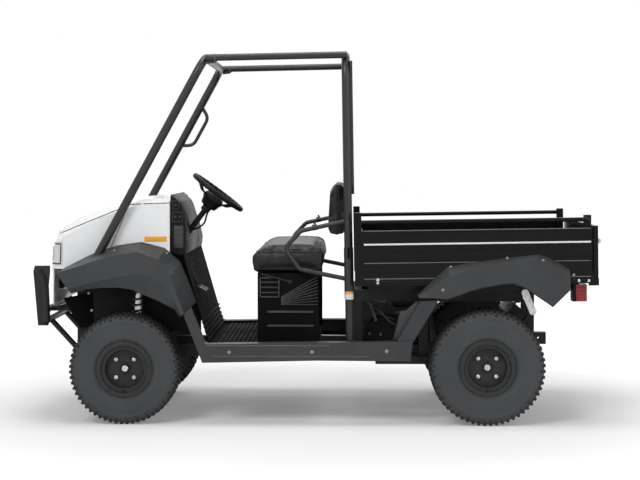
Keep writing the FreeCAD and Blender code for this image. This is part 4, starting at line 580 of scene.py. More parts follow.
def side_bolts(bm, skin, places, size, otherwise):
    """Bolts at places of x and z, seated on the surface of both sides."""
    for side in SIDES.values():
        for x, z in places:
            hex_bolt(bm, (x, landed(skin, x, z, side, otherwise), z), (0, side, 0), *size)


print("pieces and landing places ready")

# %% [markdown]
# ## Where the wheels are
# Everything on a wheel is drawn round its own middle, so the middles, widths and radii are read from the
# frame once. A typed place would be wrong as soon as someone changes the track or the wheelbase.

# %% Read the wheels from the frame
WHEELS = {}
for name in ("front_left", "front_right", "rear_left", "rear_right"):
    low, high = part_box("rim_" + name)
    tyre_low, tyre_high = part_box("tyre_" + name)
    middle = (low + high) / 2
    middle.y = (tyre_low.y + tyre_high.y) / 2
    WHEELS[name] = {
        "centre": tuple(middle / MM), "radius": middle.z / MM, "width": (tyre_high.y - tyre_low.y) / MM,
        "side": 1 if middle.y > 0 else -1,
    }
    print(name, "wheel at", [round(v) for v in WHEELS[name]["centre"]], "width", round(WHEELS[name]["width"]))

# %% [markdown]
# ## Tyre walls
# A utility tyre has a round bead, a rib that guards the rim, a soft belly and a square shoulder. One side
# profile, spun round the axle, gives all of them. A torus with a displaced surface would be rounder and
# softer than the real one. The profile goes on down the inside, so the tyre has a wall and isn't a solid.

# %% Tyre walls
BEAD_RADIUS = 127.4
BEAD_DEPTH = 6.0
FLANGE_RADIUS = 146.4
FLANGE_INSET = 15.2
RIM_GUARD = ((3.0, 9.0), (8.0, 5.5), (10.0, 7.5), (13.0, 4.5))
BELLY_SHARES = ((0.30, 1.4), (0.45, 0.0), (0.60, 0.8), (0.74, 2.6), (0.765, 1.2), (0.80, 3.2))
SHOULDER_STEPS = ((8.0, 6.0), (3.0, 8.4), (0.0, 12.0))
CROWN_RISE = 0.5
CROWN_SHARE = 0.45
WALL_THICK = 10.0
WALL_FROM = 20.0
INSIDE_SHARE = 0.88
TYRE_TURNS = 120
BLOCK_HEIGHT = 9.0


def tyre_profile(radius, half):
    """Radius and height of the outer skin, from one bead over the tread to the other."""
    tread = radius - BLOCK_HEIGHT
    rise = tread - FLANGE_RADIUS
    seat = half - FLANGE_INSET
    outer = [(BEAD_RADIUS, seat - BEAD_DEPTH), (BEAD_RADIUS, seat), (FLANGE_RADIUS, seat)]
    outer += [(FLANGE_RADIUS + out, half - inset) for out, inset in RIM_GUARD]
    outer += [(FLANGE_RADIUS + rise * share, half - inset) for share, inset in BELLY_SHARES]
    outer += [(tread - drop, half - inset) for drop, inset in SHOULDER_STEPS]
    outer.append((tread + CROWN_RISE, half * CROWN_SHARE))
    return outer + [(r, -h) for r, h in reversed(outer)]


def tyre_inside(profile):
    """The same skin, moved in by the wall beyond the rim and narrowed."""
    kept = [(r, h) for r, h in profile if r > BEAD_RADIUS]
    return [(r - WALL_THICK if r > FLANGE_RADIUS + WALL_FROM else r, h * INSIDE_SHARE) for r, h in kept]


for name, wheel in WHEELS.items():
    bm = bmesh.new()
    profile = tyre_profile(wheel["radius"], wheel["width"] / 2)
    turned(bm, profile + list(reversed(tyre_inside(profile))), wheel["centre"], TYRE_TURNS)
    made = piece("tyre_dress_" + name, bm, "tyre_rubber", "wheel_" + name)
    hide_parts("tyre_" + name)
print("tyre walls:", TYRE_TURNS, "steps round")

# %% [markdown]
# ## Tread blocks
# Four staggered rows of small blocks sit on the crown, and a row of long and short ones wraps each shoulder.
# A bump texture would leave the outline round, but the picture shows the blocks against the floor, so each is
# a real block with only a few faces. They taper towards the ground and are sunk a little into the tyre.

# %% Tread blocks
BLOCK_COUNT = 60
BLOCK_LENGTH = 17.0
BLOCK_SUNK = 3.0
BLOCK_EDGE = 1.6
BLOCK_TAPER = 0.78
ROWS = 4
ROW_GAP = 9.0
SHOULDER = 9.0
SHOULDER_DEPTHS = (26.0, 18.0)
SHOULDER_SPAN = (4.0, 1.0)
SHOULDER_LENGTH_SHARE = 0.42
SHOULDER_TOP = 3.0
SHOULDER_LEAN = (8.0, 4.0)


def set_round(bm, verts, centre, number):
    """Turns a block drawn at the top of the wheel to its place in the row."""
    turn = Matrix.Rotation(2 * math.pi * number / BLOCK_COUNT, 4, "Y")
    bmesh.ops.transform(bm, matrix=Matrix.Translation(mm(*centre)) @ turn, verts=verts)


def crown_blocks(bm, radius, half, centre):
    """The staggered rows across the crown."""
    spread = half - SHOULDER
    row_width = (2 * spread - (ROWS - 1) * ROW_GAP) / ROWS
    low, high = radius - BLOCK_HEIGHT - BLOCK_SUNK, radius
    blocks = []
    for row in range(ROWS):
        start = -spread + row * (row_width + ROW_GAP)
        for number in range(BLOCK_COUNT):
            made = block(bm, (-BLOCK_LENGTH / 2, BLOCK_LENGTH / 2), (start, start + row_width), (low, high))
            for vert in made:
                if vert.co.z > (low + high) / 2 * MM:
                    vert.co.x *= BLOCK_TAPER
            set_round(bm, made, centre, number + 0.5 * (row % 2))
            blocks += made
    return blocks


def shoulder_blocks(bm, radius, half, centre):
    """Long and short blocks by turns, leaning over the shoulder on each side."""
    reach = BLOCK_LENGTH * SHOULDER_LENGTH_SHARE
    from_top, lean = SHOULDER_LEAN
    blocks = []
    for end in (-1, 1):
        y = sorted((end * (half - SHOULDER - SHOULDER_SPAN[0]), end * (half - SHOULDER_SPAN[1])))
        for number in range(BLOCK_COUNT):
            z = (radius - SHOULDER_DEPTHS[number % 2], radius - SHOULDER_TOP)
            made = block(bm, (-reach, reach), y, z)
            for vert in made:
                if vert.co.z > (radius - from_top) * MM:
                    vert.co.y -= end * lean * MM
            set_round(bm, made, centre, number + 0.5 * (end > 0))
            blocks += made
    return blocks


for name, wheel in WHEELS.items():
    bm = bmesh.new()
    size = (wheel["radius"], wheel["width"] / 2, wheel["centre"])
    round_edges(bm, crown_blocks(bm, *size) + shoulder_blocks(bm, *size), BLOCK_EDGE, 1)
    # The tread's darker rubber is painted shade.
    made = piece("tread_" + name, bm, "tread_shaded_rubber", "wheel_" + name)
    print(name, "tread:", len(made.data.polygons), "faces")

# %% [markdown]
# ## Pressed rings and collar on the rims
# Steel rims are pressed from sheet, and the press leaves fine rings that catch the light. They could be bump,
# but a thin wire sunk half into the metal, in a paint lighter than the rim's, gives the same bright line at
# any
# angle: that lighter paint is a painted highlight. The raised collars round the hub and the dish are turned.

# %% Rings and collars on the rims
FLANGE_IN = 8.7
DISH_DROP = 62.0
RIM_RINGS = ((133.0, 0.4, 1.3), (139.5, 0.4, 1.0), (117.0, -15.6, 1.2), (108.5, -15.6, 1.0))
RING_SIDES = 8
HUB_COLLAR = ((33, -1), (33, 5), (31, 7.5), (25, 7.5), (24, 6), (24, -1))
DISH_COLLAR = ((95.4, 0.5), (95.4, 3.2), (91, 2.2), (90, 0.5))


def rim_ring(bm, centre, radius, wire):
    fan = [Vector((radius * math.cos(a), 0, radius * math.sin(a))) for a in around(TYRE_TURNS)]
    tube(bm, [Vector(centre) + spot for spot in fan], wire, RING_SIDES, closed=True)


for name, wheel in WHEELS.items():
    side = wheel["side"]
    x, y, z = wheel["centre"]
    wheel["out"] = Y_AXIS * side
    wheel["flange_y"] = y + side * (wheel["width"] / 2 - FLANGE_IN)
    wheel["dish"] = (x, wheel["flange_y"] - side * DISH_DROP, z)
    bm = bmesh.new()
    for radius, height, wire in RIM_RINGS:
        rim_ring(bm, (x, wheel["flange_y"] + side * height, z), radius, wire)
    # The rings' lighter paint is a painted highlight.
    piece("rim_rings_" + name, bm, "rim_ring_highlight", "wheel_" + name)
    bm = bmesh.new()
    for profile in (HUB_COLLAR, DISH_COLLAR):
        turned(bm, profile, wheel["dish"], axis=wheel["out"])
    piece("rim_collar_" + name, bm, "rim_paint", "wheel_" + name)
print("rims:", len(RIM_RINGS), "rings each")

# %% [markdown]
# ## Wheel nuts, cap and valve
# Four bright nuts and a cap are the only shine on a dark wheel, so the eye goes there first. Each nut is a
# washer, a six-sided body and a round end. The valve is a short rubber stem that leans out of the dish.

# %% Wheel nuts, caps and valves
CAP = ((17.0, 20.3), (17.0, 23), (14, 25.5), (9, 25.5), (8, 24.6), (4, 24.6), (3, 26.0),
       (AXLE_POLE, 26.2), (AXLE_POLE, 20.3))
CAP_TURNS = 36
NUT_CIRCLE = 66.0
NUT_TURNS = (45, 135, 225, 315)
NUT_STEPS = ((14.2, 16.0, 11.5, 24, 9.5), (15.0, 21.0, 8.6, 6, 8.6), (20.0, 24.0, 5.5, 20, 4.0))
VALVE_DROP = 112.0
VALVE_INSET = 16.0
VALVE_STEPS = ((0.0, 12.0, 3.4, 3.4), (12.0, 18.0, 4.2, 3.2))
VALVE_SIDES = 16

for name, wheel in WHEELS.items():
    x, y, z = wheel["dish"]
    out = wheel["out"]
    bm = bmesh.new()
    turned(bm, CAP, wheel["dish"], CAP_TURNS, out)
    for turn in NUT_TURNS:
        a = math.radians(turn)
        spot = Vector((x + NUT_CIRCLE * math.cos(a), y, z + NUT_CIRCLE * math.sin(a)))
        for low, high, radius, sides, end_radius in NUT_STEPS:
            rod(bm, spot + out * low, spot + out * high, radius, sides, end_radius)
    piece("wheel_nuts_" + name, bm, "bright_steel", "wheel_" + name)
    bm = bmesh.new()
    root = Vector((x, wheel["flange_y"], z - VALVE_DROP)) - out * VALVE_INSET
    for low, high, radius, end_radius in VALVE_STEPS:
        rod(bm, root + out * low, root + out * high, radius, VALVE_SIDES, end_radius)
    piece("valve_" + name, bm, "black_plastic", "wheel_" + name)
print("nuts:", len(NUT_TURNS), "on each of", len(WHEELS), "wheels")

# %% [markdown]
# ## Cushions
# A sewn cushion crowns in the middle of each face and pulls in between its corners. Sculpting or a plain
# bevel makes it look like soap, so cloth does the work: the plain solid from the frame is wrapped in an even
# net and blown up a little by pressure. The swelling is capped, so the cushion keeps its size.

# %% An even net round a cushion
NET_SIZE = 0.006
WELD = 0.00001
CUSHION_INSET = 0.004
NET_SMOOTHING = {"iterations": 10, "factor": 0.6}


def applied(made, kind, **settings):
    """Adds a modifier with some settings and makes its result the mesh."""
    modifier = made.modifiers.new(kind.lower(), kind)
    for setting, value in settings.items():
        setattr(modifier, setting, value)
    bpy.context.view_layer.objects.active = made
    bpy.ops.object.modifier_apply(modifier=modifier.name)


def netted(name, source, height_share):
    """A copy of a node wrapped in an even net, a little smaller than the node."""
    bm = bmesh.new()
    base = min(v.co.z for v in source.data.vertices)
    bm.from_mesh(source.data)
    bmesh.ops.remove_doubles(bm, verts=bm.verts, dist=WELD)
    bmesh.ops.recalc_face_normals(bm, faces=bm.faces)
    for vert in bm.verts:
        vert.co.z = base + (vert.co.z - base) * height_share
    mesh = bpy.data.meshes.new(name)
    bm.to_mesh(mesh)
    bm.free()
    made = bpy.data.objects.new(name, mesh)
    bpy.context.scene.collection.objects.link(made)
    applied(made, "REMESH", mode="VOXEL", voxel_size=NET_SIZE)
    applied(made, "SMOOTH", **NET_SMOOTHING)
    normals = [v.normal.copy() for v in made.data.vertices]
    for vert, normal in zip(made.data.vertices, normals):
        vert.co -= normal * CUSHION_INSET
    return made


print("net size:", NET_SIZE / MM, "mm")

# %% Blow the cushions up
PUFF_FRAMES = 20
COVER = {
    "quality": 3, "mass": 0.25,
    "tension_stiffness": 18, "compression_stiffness": 18, "bending_stiffness": 1.5,
    "use_pressure": True, "uniform_pressure_force": 4.0,
}
LAST_SMOOTHING = 3
CUSHIONS = {
    "seat_cushion": {"cap": 0.013, "fill": 0.75, "height_share": 0.74},
    "seat_back_left": {"cap": 0.012, "fill": 0.7, "height_share": 1.0},
    "seat_back_right": {"cap": 0.012, "fill": 0.7, "height_share": 1.0},
}


def blow_up(made):
    """Runs cloth pressure on the net, without gravity, and makes its result the mesh."""
    cloth = made.modifiers.new("cloth", "CLOTH")
    for setting, value in COVER.items():
        setattr(cloth.settings, setting, value)
    cloth.settings.effector_weights.gravity = 0
    cloth.collision_settings.use_collision = False
    cloth.point_cache.frame_start = 1
    cloth.point_cache.frame_end = PUFF_FRAMES
    for number in range(1, PUFF_FRAMES + 1):
        bpy.context.scene.frame_set(number)
        bpy.context.view_layer.update()
    bpy.context.view_layer.objects.active = made
    bpy.ops.object.modifier_apply(modifier=cloth.name)
    bpy.context.scene.frame_set(1)


def puffed(made, cap):
    """The netted cushion blown up, with no point moved further than the cap."""
    rest = [v.co.copy() for v in made.data.vertices]
    blow_up(made)
    for vert, start in zip(made.data.vertices, rest):
        move = vert.co - start
        if move.length > cap:
            vert.co = start + move.normalized() * cap
    applied(made, "SMOOTH", iterations=LAST_SMOOTHING)
    applied(made, "SUBSURF", levels=1, render_levels=1)
    made.data.shade_smooth()
    return made


pads = {}
for node_name, facts in CUSHIONS.items():
    pad = puffed(netted(node_name + "_pad", nodes[node_name], facts["height_share"]), facts["cap"])
    pad.data.materials.clear()
    pad.data.materials.append(FINISHES["seat_vinyl"])
    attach(pad, "chassis")
    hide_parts(node_name)
    pads[node_name] = pad
    print(node_name, "pad:", len(pad.data.polygons), "faces")

# %% [markdown]
# ## Piping
# The covers are sewn along a piping cord. A drawn curve would float over the puffed faces or sink into them,
# so the cord follows points found on the finished cushion: rays are shot inwards from a ring outside it.

# %% Piping
PIPING_RADIUS = 4.0
BACK_PIPING_SHARE = 0.8
PIPING_POINTS = 220
PIPING_SIDES = 8
SEAT_MIDDLE = Vector((130.0, 0.0, 0.0))
SEAT_REACH = (260.0, 600.0)
SEAT_AIM_SHARES = Vector((0.35, 0.75, 1.0))
SEAT_PIPING_ZS = (884.0, 796.0)
BACK_MIDDLE = Vector((-126.0, 284.0, 1107.0))
BACK_REACH = (272.0, 137.0)
BACK_AIM_SHARES = Vector((1.0, 0.4, 0.4))
FROM_OUTSIDE = 2


def seam(tree, middle, across, over, aim_shares):
    """Points where rays meet a pad on their way in, from a ring spanned by two vectors."""
    path = []
    for a in around(PIPING_POINTS):
        fan = across * math.cos(a) + over * math.sin(a)
        start = middle + fan * FROM_OUTSIDE
        hit = tree.ray_cast(start * MM, (middle + fan * aim_shares - start).normalized())[0]
        if hit:
            path.append(hit / MM)
    return path


bm = bmesh.new()
seat_skin = surface_of(pads["seat_cushion"].data)
for z in SEAT_PIPING_ZS:
    middle = SEAT_MIDDLE + Z_AXIS * z
    path = seam(seat_skin, middle, X_AXIS * SEAT_REACH[0], Y_AXIS * SEAT_REACH[1], SEAT_AIM_SHARES)
    tube(bm, path, PIPING_RADIUS, PIPING_SIDES, closed=True)
piece("seat_piping", bm, "seat_vinyl", "chassis")
for name, side in SIDES.items():
    bm = bmesh.new()
    middle = Vector((BACK_MIDDLE.x, side * BACK_MIDDLE.y, BACK_MIDDLE.z))
    back_skin = surface_of(pads["seat_back_" + name].data)
    path = seam(back_skin, middle, Y_AXIS * BACK_REACH[0], Z_AXIS * BACK_REACH[1], BACK_AIM_SHARES)
    tube(bm, path, PIPING_RADIUS * BACK_PIPING_SHARE, PIPING_SIDES, closed=True)
    piece(f"seat_back_{name}_piping", bm, "seat_vinyl", "chassis")
print("piping round", len(pads), "cushions")

# %% [markdown]
# ## The moulded box under the seat
# Air for the engine comes in through the box under the seat: a framed recess with three bars and a fan of
# slots that spreads to the rear. Cutting them out would change the frame's node, so they are laid on it as
# thin raised ribs in a slightly lighter black, which paints the highlights on their edges.

# %% Seat box trim
RECESS = ((172.0, 277.0), (646.0, 753.0))
RECESS_RIM = 7.0
RECESS_PROUD = 5.0
RECESS_BARS = 3
BAR_HALF = 3.0
BAR_PROUD = 2.5
TRIM_SUNK = 2.0
TRIM_EDGE = 1.5
BAR_EDGE = 1.0
SLOT_COUNT = 9
SLOT_X = (164.0, -26.0)
SLOT_FRONT_Z = (610.0, 648.0)
SLOT_BACK_Z = (610.0, 756.0)
SLOT_RADIUS = 2.6
BOX_RIBS = {"x": (-5.0, 237.0), "levels": (572.0, 499.0), "half": 6.0, "proud": 5.0, "edge": 2}
base_skin = skin_of("seat_base")


def between(span, share):
    return span[0] + (span[1] - span[0]) * share


def framed(bm, x, y, z, rim, edge):
    """Four bars that frame a rectangle."""
    for level in ((z[1] - rim, z[1]), (z[0], z[0] + rim)):
        block(bm, x, y, level, edge)
    for upright_x in ((x[0], x[0] + rim), (x[1] - rim, x[1])):
        block(bm, upright_x, y, z, edge)


for name, side in SIDES.items():
    bm = bmesh.new()
    x, z = RECESS
    y = landed(base_skin, sum(x) / 2, sum(z) / 2, side)
    framed(bm, x, standing(y, side, TRIM_SUNK, RECESS_PROUD), z, RECESS_RIM, TRIM_EDGE)
    for number in range(RECESS_BARS):
        level = between(z, (number + 1) / (RECESS_BARS + 1))
        block(bm, x, standing(y, side, TRIM_SUNK, BAR_PROUD), (level - BAR_HALF, level + BAR_HALF), BAR_EDGE)
    for number in range(SLOT_COUNT):
        front_z, back_z = [between(span, number / (SLOT_COUNT - 1)) for span in (SLOT_FRONT_Z, SLOT_BACK_Z)]
        y = landed(base_skin, SLOT_X[0], front_z, side)
        rod(bm, (SLOT_X[0], y, front_z), (SLOT_X[1], y, back_z), SLOT_RADIUS, 10)
    for level in BOX_RIBS["levels"]:
        y = landed(base_skin, sum(BOX_RIBS["x"]) / 2, level, side)
        z = (level - BOX_RIBS["half"], level + BOX_RIBS["half"])
        block(bm, BOX_RIBS["x"], standing(y, side, TRIM_SUNK, BOX_RIBS["proud"]), z, BOX_RIBS["edge"])
    # The ribs' lighter black is a painted highlight on their edges.
    piece("seat_box_trim_" + name, bm, "trim_black", "chassis")
print("seat box:", SLOT_COUNT, "slots a side")

# %% [markdown]
# ## The seat's lever
# A bent rod on the near side lets the seat tip forward. It is one tube along three points, with a round boss
# at its foot and a pin at its end that reach the box, so it doesn't hang in the air.

# %% Seat lever
LEVER = ((269.5, 556.0, 770.0), (200.0, 560.0, 752.0), (117.4, 556.0, 729.0))
LEVER_RADIUS = 6.0
LEVER_BEND = 30
LEVER_SUNK = 4.0
LEVER_BOSS = {"radius": 11, "proud": 6}
(pin_x, pin_y, pin_z), (boss_x, boss_y, boss_z) = LEVER[0], LEVER[-1]
foot_y = landed(base_skin, boss_x, boss_z) - LEVER_SUNK
bm = bmesh.new()
tube(bm, bent(LEVER, LEVER_BEND), LEVER_RADIUS)
rod(bm, (boss_x, foot_y, boss_z), (boss_x, boss_y + LEVER_BOSS["proud"], boss_z), LEVER_BOSS["radius"])
rod(bm, (pin_x, foot_y, pin_z), (pin_x, pin_y, pin_z), LEVER_RADIUS, 14)
piece("seat_lever", bm, "frame_paint", "chassis")
print("lever reaches", round(pin_x - boss_x), "mm forward of its boss")

# %% [markdown]
# ## Ribbed floor
# Raised ribs across the floor and the toe board keep boots from slipping. An array modifier could repeat
# them, but each rib looks for the floor below it, so the ribs follow the pan and stop where it ends.

# %% Floor ribs
MAT_X = (-25.0, 520.0)
MAT_PITCH = 24.0
MAT_HALF = 600.0
MAT_SPLIT = 8.0
RIB_LENGTH = 11.0
RIB_RISE = 4.5
RIB_SUNK = 2.0
RIB_EDGE = 1.5
FLOOR_BOLTS = ((369.0, 560.0), (369.0, -560.0), (120.0, 560.0), (120.0, -560.0))
FLOOR_BOLT = {"rise": 8, "radius": 11, "end_radius": 8}
ABOVE_FLOOR = 700.0
floor_skin = skin_of("floor_pan")


def top_of(tree, x, y):
    """The height where a plumb line meets the surface, or nothing where it misses."""
    hit = tree.ray_cast(mm(x, y, ABOVE_FLOOR), -Z_AXIS)[0]
    return hit.z / MM if hit else None


bm = bmesh.new()
ribs = 0
for number in range(int((MAT_X[1] - MAT_X[0]) / MAT_PITCH)):
    x = MAT_X[0] + MAT_PITCH * (number + 0.5)
    top = top_of(floor_skin, x, MAT_HALF / 2)
    if top is not None:
        ribs += 1
        for y in ((-MAT_HALF, -MAT_SPLIT), (MAT_SPLIT, MAT_HALF)):
            block(bm, (x - RIB_LENGTH / 2, x + RIB_LENGTH / 2), y, (top - RIB_SUNK, top + RIB_RISE), RIB_EDGE)
for x, y in FLOOR_BOLTS:
    top = top_of(floor_skin, x, y)
    rod(bm, (x, y, top), (x, y, top + FLOOR_BOLT["rise"]), FLOOR_BOLT["radius"], 20, FLOOR_BOLT["end_radius"])
piece("floor_ribs", bm, "rib_black", "chassis")
print("floor:", ribs, "ribs")

# %% Toe board ribs
TOE_RIBS = 5
TOE_RIB_Z = (425.0, 520.0)
TOE_RIB_HALVES = (3.0, 610.0, 4.0)
TOE_LOOK_FROM = (100, 300)
toe_skin = skin_of("toe_board")
half_x, half_y, half_z = TOE_RIB_HALVES
bm = bmesh.new()
for number in range(TOE_RIBS):
    z = between(TOE_RIB_Z, number / (TOE_RIBS - 1))
    hit = toe_skin.ray_cast(mm(*TOE_LOOK_FROM, z), X_AXIS)[0]
    if hit:
        x = hit.x / MM
        block(bm, (x - half_x, x + half_x), (-half_y, half_y), (z - half_z, z + half_z), RIB_EDGE)
piece("toe_ribs", bm, "rib_black", "chassis")
print("toe board:", TOE_RIBS, "ribs")

# %% [markdown]
# ## Pedals
# The pedals hang from the toe board on bent arms. Each is a flat pad with five round bars across it, set
# along the slope on which a foot rests. The pad is the hull of eight corners, which is simpler than turning
# a box to that slope.

# %% Pedals
PEDALS = {"brake": {"y": 352.0, "half": 38.0}, "throttle": {"y": 250.0, "half": 24.0}}
PEDAL_TOP, PEDAL_FOOT = Vector((655.0, 0, 712.0)), Vector((556.0, 0, 660.0))
PEDAL_ROOT = (668.0, 830.0)
PAD_HALF_LENGTH = 40.0
PAD_HALF_THICK = 4.0
PAD_BARS = 5
BAR_PITCH = 15.0
BAR_INSET = 4.0
PAD_BAR_RADIUS = 2.2
ARM = {"elbow": (34, 60), "bend": 30, "radius": 8, "behind": 2}

bm = bmesh.new()
along = (PEDAL_TOP - PEDAL_FOOT).normalized()
out = Vector((-along.z, 0, along.x))
for name, facts in PEDALS.items():
    middle = (PEDAL_TOP + PEDAL_FOOT) / 2 + Y_AXIS * facts["y"]
    length, width, thick = along * PAD_HALF_LENGTH, Y_AXIS * facts["half"], out * PAD_HALF_THICK
    hull(bm, [middle + length * a + width * b + thick * c for a in (-1, 1) for b in (-1, 1) for c in (-1, 1)])
    reach = Y_AXIS * (facts["half"] - BAR_INSET)
    for number in range(PAD_BARS):
        spot = middle + along * (number - PAD_BARS // 2) * BAR_PITCH + thick
        rod(bm, spot - reach, spot + reach, PAD_BAR_RADIUS, 8)
    elbow = (middle.x + ARM["elbow"][0], facts["y"], middle.z + ARM["elbow"][1])
    arm = [(PEDAL_ROOT[0], facts["y"], PEDAL_ROOT[1]), elbow, middle - out * ARM["behind"]]
    tube(bm, bent(arm, ARM["bend"]), ARM["radius"])
piece("pedals", bm, "frame_paint", "chassis")
print("pedals:", ", ".join(PEDALS))

# %% [markdown]
# ## Steering wheel
# The steering wheel in the frame has a ten-sided rim so that it stays light. Here it gets a round one. A
# torus would be smooth, but a real grip has soft finger knobs, so the rim is a tube whose radius swells and
# sinks as it goes round. The boss is turned, and each flat spoke is two hulls that meet at its bend.

# %% Steering wheel
RING_RADIUS = 150.0
RING_STEPS = 96
RING_SIDES_ROUND = 14
GRIP_RADIUS = 13.0
GRIP_SWELL = 0.7
GRIP_KNOBS = 30
BOSS = ((AXLE_POLE, -16), (34, -17), (50, -24), (58, -38), (60, -50), (52, -62), (44, -90), (30, -96),
        (AXLE_POLE, -96))
BOSS_TURNS = 40
SPOKE_TURNS = (0, 130, 230)
SPOKE_LINE = ((44, -46), (96, -34), (142, -2))
SPOKE_HALVES = (15.0, 4.0)
wheel_spot = Vector(joints["steering_wheel_turn"]["pos_m"]) / MM
wheel_axis = Vector(joints["steering_wheel_turn"]["axis"])

bm = bmesh.new()
ring = [Vector((RING_RADIUS * math.cos(a), RING_RADIUS * math.sin(a), 0)) for a in around(RING_STEPS)]
swell = [GRIP_RADIUS + GRIP_SWELL * math.cos(GRIP_KNOBS * a) for a in around(RING_STEPS)]
tube(bm, ring, swell, RING_SIDES_ROUND, closed=True)
turned(bm, BOSS, (0, 0, 0), BOSS_TURNS, Z_AXIS)
for turn in SPOKE_TURNS:
    a = math.radians(turn)
    out = Vector((math.cos(a), math.sin(a), 0))
    cross = Vector((-out.y, out.x, 0))
    line = [out * reach + Z_AXIS * rise for reach, rise in SPOKE_LINE]
    for start, end in zip(line, line[1:]):
        wide = cross * SPOKE_HALVES[0]
        thick = (end - start).normalized().cross(cross) * SPOKE_HALVES[1]
        hull(bm, [spot + wide * b + thick * c for spot in (start, end) for b in (-1, 1) for c in (-1, 1)])
wheel_place = Matrix.Translation(wheel_spot * MM) @ upright(wheel_axis)
bmesh.ops.transform(bm, matrix=wheel_place, verts=bm.verts)
dressed = piece("steering_wheel_dress", bm, "black_plastic", "steering_wheel")
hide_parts("steering_wheel")
print("steering wheel:", len(SPOKE_TURNS), "spokes")

# %% [markdown]
# ## Dashboard
# The dash is a moulded panel whose face falls back towards the floor, taller behind the steering wheel than
# on the far side. Seen from its end it is one outline, so an outline drawn as shares of its height and depth
# and given a width is truer than a box bent into shape. Its edges are rounded as a moulding's are.

# %% Dash
DASH_X = (660.0, 740.0)
DASH_Z = (866.0, 1185.0)
DASH_HALF = 556.0
DASH_SPLIT_Y = -150.0
DASH_DRIVER_SHARES = ((1.00, 0.96), (0.94, 1.00), (0.37, 0.86), (0.10, 0.69), (0.01, 0.45), (0.00, 0.17),
                      (0.05, 0.03), (0.12, 0.00), (0.50, 0.00), (1.00, 0.05))
DASH_FAR_SHARES = ((1.00, 0.82), (0.71, 0.79), (0.46, 0.59), (0.20, 0.41), (0.00, 0.17), (0.05, 0.03),
                   (0.12, 0.00), (0.50, 0.00), (1.00, 0.05))
DASH_EDGE = 5.0


def from_shares(shares, x, z):
    """An outline given as shares of a depth and a height."""
    return [(between(x, u), between(z, w)) for u, w in shares]


bm = bmesh.new()
plate(bm, from_shares(DASH_DRIVER_SHARES, DASH_X, DASH_Z), (DASH_SPLIT_Y, DASH_HALF), DASH_EDGE)
plate(bm, from_shares(DASH_FAR_SHARES, DASH_X, DASH_Z), (-DASH_HALF, DASH_SPLIT_Y), DASH_EDGE)
dressed = piece("dash_dress", bm, "black_plastic", "chassis")
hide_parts("dash")
print("dash:", 2 * DASH_HALF, "mm wide")

# %% [markdown]
# ## Steering column
# A thick sleeve sits under the wheel and a thinner tube runs on to the dash. The bright shaft between wheel
# and sleeve turns with the wheel, so it is a piece of its own that rides on the wheel's body.

# %% Steering column and shaft
COLUMN_FOOT = Vector((704.0, 300.0, 930.0))
SHAFT_START_SHARE = 0.2
SLEEVE_SHARES = (0.29, 0.38)
COLUMN_SLEEVE = {"radius": 25.0, "sides": 28}
COLUMN_TUBE = {"radius": 15.0, "sides": 24}
SHAFT = {"radius": 9.0, "sides": 20}
sleeve_start, sleeve_end = [wheel_spot.lerp(COLUMN_FOOT, share) for share in SLEEVE_SHARES]
bm = bmesh.new()
rod(bm, sleeve_start, sleeve_end, **COLUMN_SLEEVE)
rod(bm, sleeve_end, COLUMN_FOOT, **COLUMN_TUBE)
dressed = piece("steering_column_dress", bm, "black_plastic", "chassis")
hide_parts("steering_column")
bm = bmesh.new()
rod(bm, wheel_spot.lerp(COLUMN_FOOT, SHAFT_START_SHARE), sleeve_end, **SHAFT)
piece("steering_shaft", bm, "bright_steel", "steering_wheel")
print("column:", round((COLUMN_FOOT - wheel_spot).length), "mm long")

# %% [markdown]
# ## Dash doors, switches and the column's cable
# The dash's ends carry a louvred door each, and on the near side two framed switch panels with round knobs.
# They are low boxes laid on the moulding. The cable under the column is held at both ends, so it is a bent
# tube and doesn't hang freely.

# %% Dash doors and switches
DOOR_X = (672.0, 722.0)
DOOR_Z = {"left": (905.0, 1020.0), "right": (905.0, 970.0)}
DOOR_HALF_THICK = 4.0
DOOR_EDGE = 3
LOUVRES = {"count": 4, "start": 0.7, "parts": 4.4, "inset": 7, "half": 2, "proud": (2, 6), "edge": 1}
SWITCH_FRAMES = (((676.0, 730.0), (1040.0, 1092.0)), ((694.0, 732.0), (1106.0, 1150.0)))
SWITCH_RIM = 4.0
KNOBS = ((690.0, 1066.0), (714.0, 1066.0), (713.0, 1128.0))
KNOB = {"radius": 8, "end_radius": 6, "proud": 9}
bm = bmesh.new()
for name, side in SIDES.items():
    y, z = side * DASH_HALF, DOOR_Z[name]
    block(bm, DOOR_X, standing(y, side, DOOR_HALF_THICK, DOOR_HALF_THICK), z, DOOR_EDGE)
    slat_x = (DOOR_X[0] + LOUVRES["inset"], DOOR_X[1] - LOUVRES["inset"])
    slat_y = standing(y, side, -LOUVRES["proud"][0], LOUVRES["proud"][1])
    for number in range(LOUVRES["count"]):
        level = between(z, (number + LOUVRES["start"]) / LOUVRES["parts"])
        block(bm, slat_x, slat_y, (level - LOUVRES["half"], level + LOUVRES["half"]), LOUVRES["edge"])
for x, z in SWITCH_FRAMES:
    framed(bm, x, standing(DASH_HALF, 1, TRIM_SUNK, SWITCH_RIM), z, SWITCH_RIM, BAR_EDGE)
for x, z in KNOBS:
    start, end = [(x, y, z) for y in standing(DASH_HALF, 1, TRIM_SUNK, KNOB["proud"])]
    rod(bm, start, end, KNOB["radius"], end_radius=KNOB["end_radius"])
piece("dash_bin_doors", bm, "trim_black", "chassis")
print("dash ends:", len(DOOR_Z), "doors,", len(KNOBS), "knobs")

